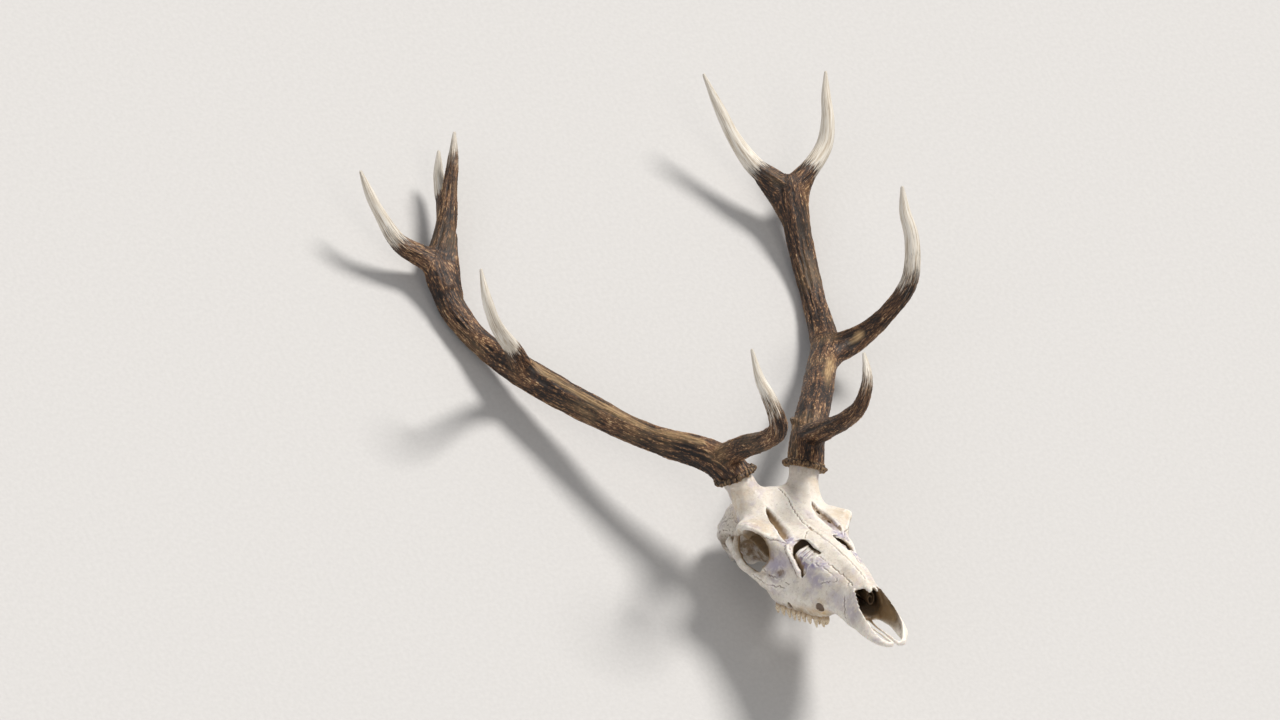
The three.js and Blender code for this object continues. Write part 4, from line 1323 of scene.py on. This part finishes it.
# %% Dry bone
def dry_bone(name, painted_shade_reach=0.0):
    material, tree, shader, place = finish(name)
    patch = lumps(tree, place, 34, 4, 0.6)
    mottle = lumps(tree, place, 8, 5, 0.65)
    fine = lumps(tree, place, 1.9, 3, 0.6)
    pores = add(tree, "TexVoronoi", Vector=place, Scale=1 / (1.7 * MM), Randomness=1.0).outputs["Distance"]
    crest, open_view = held(tree, "crest"), held(tree, "open_view")

    base = ramp(tree, patch, (0.3, "CFC5B8"), (0.7, "F1EBE2"), (0.5, "E3DBCF"))
    warm = calc(tree, "MULTIPLY", held(tree, "warm"), spread(tree, mottle, 0.32, 0.62, 0.25, 1.0))
    base = blend(tree, calc(tree, "MULTIPLY", warm, 0.75), base, colour("CFAE78"))
    cool = spread(tree, lumps(tree, place, 14, 4), 0.35, 0.52, 0.2, 1)
    cool = calc(tree, "MULTIPLY", held(tree, "cool"), cool)
    base = blend(tree, spread(tree, lumps(tree, place, 22, 4), 0.5, 0.68, 0, 0.4), base, colour("B9B0C2"))
    base = blend(tree, calc(tree, "MULTIPLY", cool, 0.9), base, colour("8B82A9"))
    # Lighter on crests: partly wear, partly a painted highlight.
    base = blend(tree, spread(tree, crest, 0.05, 0.8, 0, 0.7), base, colour("F7F2E8"))
    # Painted shade: broad hollows are darkened.
    base = blend(tree, spread(tree, held(tree, "form"), -0.05, -0.8, 0, 0.5), base, colour("9A8B80"))
    # Darker in creases: dirt in the seams, and painted shade.
    crease = spread(tree, calc(tree, "ADD", crest, calc(tree, "MULTIPLY", fine, 0.4)), -0.05, -0.7)
    base = blend(tree, calc(tree, "MULTIPLY", crease, 0.7), base, colour("6B5340"))
    # Brown stains, and painted shade in and around the eye socket.
    stain_and_shade_share = calc(tree, "MULTIPLY", held(tree, "stain_and_painted_shade"), spread(tree, mottle, 0.34, 0.6, 0.5, 1.0))
    base = blend(tree, calc(tree, "MULTIPLY", stain_and_shade_share, 0.92), base, colour("725A3C"))
    # Brown inside the nose, where nothing bleached it, and brown in the eye socket as painted shade.
    inner = calc(tree, "MULTIPLY", held(tree, "inner"), spread(tree, patch, 0.3, 0.62, 0.65, 1.0))
    inside = ramp(tree, mottle, (0.3, "5E4A34"), (0.7, "A58A62"), (0.5, "7E6748"))
    base = blend(tree, inner, base, inside)
    # Painted shade: the bone is darker wherever little of the view is open.
    shade = calc(tree, "ADD", open_view, calc(tree, "MULTIPLY", calc(tree, "SUBTRACT", mottle, 0.5), 0.55))
    occluded_shade_colour = ramp(tree, shade, (0.02, "6A553E"), (0.58, "B59C7A"), (0.2, "806748"), (0.4, "967C5A"))
    base = blend(tree, spread(tree, shade, 0.62 + painted_shade_reach, 0.3 + painted_shade_reach, 0, 0.94), base, occluded_shade_colour)
    grime = spread(tree, lumps(tree, place, 4.5, 5, 0.7), 0.53, 0.7, 0, 0.38)
    base = blend(tree, grime, base, colour("9C8A78"))
    specks = spread(tree, lumps(tree, place, 0.9, 2), 0.64, 0.72, 0, 0.6)
    base = blend(tree, specks, base, colour("8F7650"))

    pitted = calc(tree, "ADD", calc(tree, "MULTIPLY", fine, 0.5), spread(tree, pores, 0.0, 0.4, 0.0, 0.6))
    roughness = spread(tree, mottle, 0.3, 0.7, 0.42, 0.68)
    close(tree, shader, base, roughness, pitted, 0.7)
    shader.inputs["Subsurface Weight"].default_value = 0.12
    shader.inputs["Subsurface Radius"].default_value = (1.0, 0.55, 0.3)
    shader.inputs["Subsurface Scale"].default_value = 2.5 * MM
    return material


# %% [markdown]
# The antler's bark is stained near black by blood and bark juice, paler on every ridge, and polished to ivory
# at the tips by fraying against trees. The streaks follow each limb, because the grain that the points hold
# does. A golden tan along the front of the left beam is rubbing; along the top of the right beam and on the
# tops of the coronet's beads it is a painted highlight, partly with wear.


# %% Antler
def antler_bark(name):
    material, tree, shader, place = finish(name)
    grain = add(tree, "Attribute", {"attribute_name": "grain"}).outputs["Vector"]
    streak = lumps(tree, grain, 2.0, 4, 0.62, (1, 1, 0.11))
    band = lumps(tree, grain, 6.5, 3, 0.55, (1, 1, 0.10))
    dash = lumps(tree, grain, 1.5, 3, 0.6, (1, 1, 0.24))
    patch = lumps(tree, place, 55, 3)
    groove, rubbed, wear_and_highlight = held(tree, "groove"), held(tree, "rubbed"), held(tree, "wear_and_highlight")

    tone_of = calc(tree, "ADD", calc(tree, "MULTIPLY", groove, 0.2), calc(tree, "MULTIPLY", streak, 0.68))
    tone_of = calc(tree, "ADD", tone_of, calc(tree, "MULTIPLY", band, 0.16))
    tone_of = calc(tree, "ADD", tone_of, spread(tree, patch, 0.35, 0.65, -0.07, 0.09))
    tone_of = calc(tree, "ADD", tone_of, spread(tree, dash, 0.5, 0.66, -0.09, 0.24))
    bark = ramp(tree, tone_of, (0.2, "160C07"), (0.9, "D9C096"), (0.34, "331F10"), (0.44, "513521"),
                (0.55, "785438"), (0.7, "A8845D"))
    tan = ramp(tree, streak, (0.3, "7A5836"), (0.7, "D2B485"))
    # Tan on rubbed ridges, and as a painted highlight on the right beam's top and the coronet's bead tops.
    bark = blend(tree, calc(tree, "MULTIPLY", wear_and_highlight, spread(tree, band, 0.34, 0.6, 0.3, 0.95)), bark, tan)
    ivory = ramp(tree, lumps(tree, grain, 3.2, 4, 0.6, (1, 1, 0.09)), (0.26, "94877C"), (0.7, "F6F2EA"),
                 (0.38, "C4B6A2"), (0.5, "E4DCCE"))
    edge = calc(tree, "ADD", rubbed, calc(tree, "MULTIPLY", calc(tree, "SUBTRACT", streak, 0.5), 1.6))
    edge = calc(tree, "ADD", edge, spread(tree, patch, 0.4, 0.6, -0.12, 0.12))
    base = blend(tree, spread(tree, edge, 0.3, 0.75), bark, ivory)
    base = blend(tree, calc(tree, "MULTIPLY", held(tree, "coronet"), 0.75), base, tan)

    height = calc(tree, "ADD", streak, calc(tree, "MULTIPLY", dash, 0.6))
    roughness = spread(tree, rubbed, 0.1, 0.9, 0.6, 0.34)
    close(tree, shader, base, roughness, height, 0.9)
    return material


# %% [markdown]
# Enamel is smooth and slightly see-through, stained in upright bands, with a dark crust of tartar where the
# gum used to be.


# %% Tooth
def tooth_enamel(name):
    material, tree, shader, place = finish(name)
    mottle = lumps(tree, place, 3.2, 4, 0.6)
    height, crest, open_view = held(tree, "height"), held(tree, "crest"), held(tree, "open_view")
    base = ramp(tree, mottle, (0.3, "B59873"), (0.7, "EFE6D4"), (0.5, "D8C5A6"))
    base = blend(tree, spread(tree, crest, 0.1, 0.9, 0, 0.6), base, colour("F2E6D4"))
    crust = calc(tree, "ADD", height, calc(tree, "MULTIPLY", calc(tree, "SUBTRACT", mottle, 0.5), 0.9))
    base = blend(tree, spread(tree, crust, 0.6, 1.05, 0, 0.7), base, colour("8A6A48"))
    base = blend(tree, spread(tree, crest, -0.1, -0.8, 0, 0.9), base, colour("2E1F14"))
    # Painted shade: darker where little of the view is open, between the teeth and deep in their sockets.
    base = blend(tree, spread(tree, open_view, 0.32, 0.05, 0, 0.85), base, colour("3A281A"))
    close(tree, shader, base, spread(tree, mottle, 0.3, 0.7, 0.2, 0.42), mottle, 0.12)
    shader.inputs["Coat Weight"].default_value = 0.25
    return material


bone = dry_bone("dry bone")
# The scrolls inside the nose take this painted shade further out into their open parts than the skull does.
thin_bone = dry_bone("thin bone inside the nose", 0.08)
bark_finish = antler_bark("antler")
enamel = tooth_enamel("tooth enamel")


# %% [markdown]
# ## The finished pieces
#
# Each mesh moves into the model's frame and takes the place of the measured solids that it stands for.


# %% Hand over the pieces
SHARPEST_SMOOTH = 65  # degrees; an edge that is bent more stays sharp


def hand_over(piece, name, nodes, material):
    """Makes a finished mesh one piece of the object, in place of some measured nodes."""
    placed = in_part(points_of(piece))
    # Pearls and pits may reach just below the table. What does is flattened onto it.
    placed[:, 2] = np.maximum(placed[:, 2], 0)
    put_points(piece, placed)
    piece.name = name
    piece.data.name = name
    piece.data.materials.clear()
    piece.data.materials.append(material)
    only(piece)
    bpy.ops.object.shade_smooth_by_angle(angle=math.radians(SHARPEST_SMOOTH))
    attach(piece, "root")
    if nodes:
        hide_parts(*nodes)
    print(name, sum(len(face.vertices) - 2 for face in piece.data.polygons), "triangles")


HEAD_NODES = ["frontal_bone", "braincase"]
FACE_NODES = [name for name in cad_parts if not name.startswith("antler") and name not in HEAD_NODES]
hand_over(face, "face", FACE_NODES, bone)
hand_over(cranium, "cranium", HEAD_NODES, bone)
for name in SIDES:
    nodes = [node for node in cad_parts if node.startswith("antler_" + name)]
    hand_over(antlers[name], "antler_" + name, nodes, bark_finish)
    hand_over(coronets[name], "coronet_" + name, [], bark_finish)
    hand_over(teeth[name], "teeth_" + name, [], enamel)
    hand_over(scrolls[name], "scrolls_" + name, [], thin_bone)

# %% [markdown]
# ## Floor and light
#
# A large soft lamp from high on the animal's left draws each ridge and leaves the hollows dark. A weaker one
# from its right keeps the shadow side readable, and a third, weak and low in front, reaches into the nose.
# The floor is pale, matt card.


# %% Floor and light
def card(name):
    """Matt card, with the faintest unevenness."""
    material, tree, shader, place = finish(name)
    fibre = lumps(tree, place, 6, 4)
    base = ramp(tree, fibre, (0.3, "C3C2C1"), (0.7, "CAC9C8"))
    close(tree, shader, base, spread(tree, fibre, 0, 1, 0.8, 0.9), fibre, 0.1)
    return material


FLOOR_SIZE = 40  # metres, so that no edge of it comes into view
bpy.ops.mesh.primitive_plane_add(size=FLOOR_SIZE)
floor = bpy.context.object
floor.name = "floor"
floor.data.materials.append(card("pale card"))


def far_lamp(name, direction, strength, width, tint):
    """A wide, far lamp in a direction of the head's frame; its width is an angle in degrees."""
    way = tilt @ (np.array(direction) / np.linalg.norm(direction))
    data = bpy.data.lights.new(name, "SUN")
    data.energy = strength
    data.angle = math.radians(width)
    data.color = colour(tint)[:3]
    lamp = bpy.data.objects.new(name, data)
    bpy.context.scene.collection.objects.link(lamp)
    lamp.rotation_euler = Vector(-way).to_track_quat("-Z", "Y").to_euler()


far_lamp("key", (0.45, -0.25, 0.86), 3.5, 17, "FFFBF6")
far_lamp("fill", (-0.9, -0.75, 0.35), 0.45, 40, "F6F8FF")
far_lamp("front", (-0.1, -0.97, 0.22), 0.35, 25, "FFF6EA")
world = bpy.data.worlds.new("studio")
bpy.context.scene.world = world
world.use_nodes = True
world.node_tree.nodes["Background"].inputs["Color"].default_value = colour("FFFFFF")
world.node_tree.nodes["Background"].inputs["Strength"].default_value = 0.32
bpy.context.scene.view_settings.view_transform = "Standard"
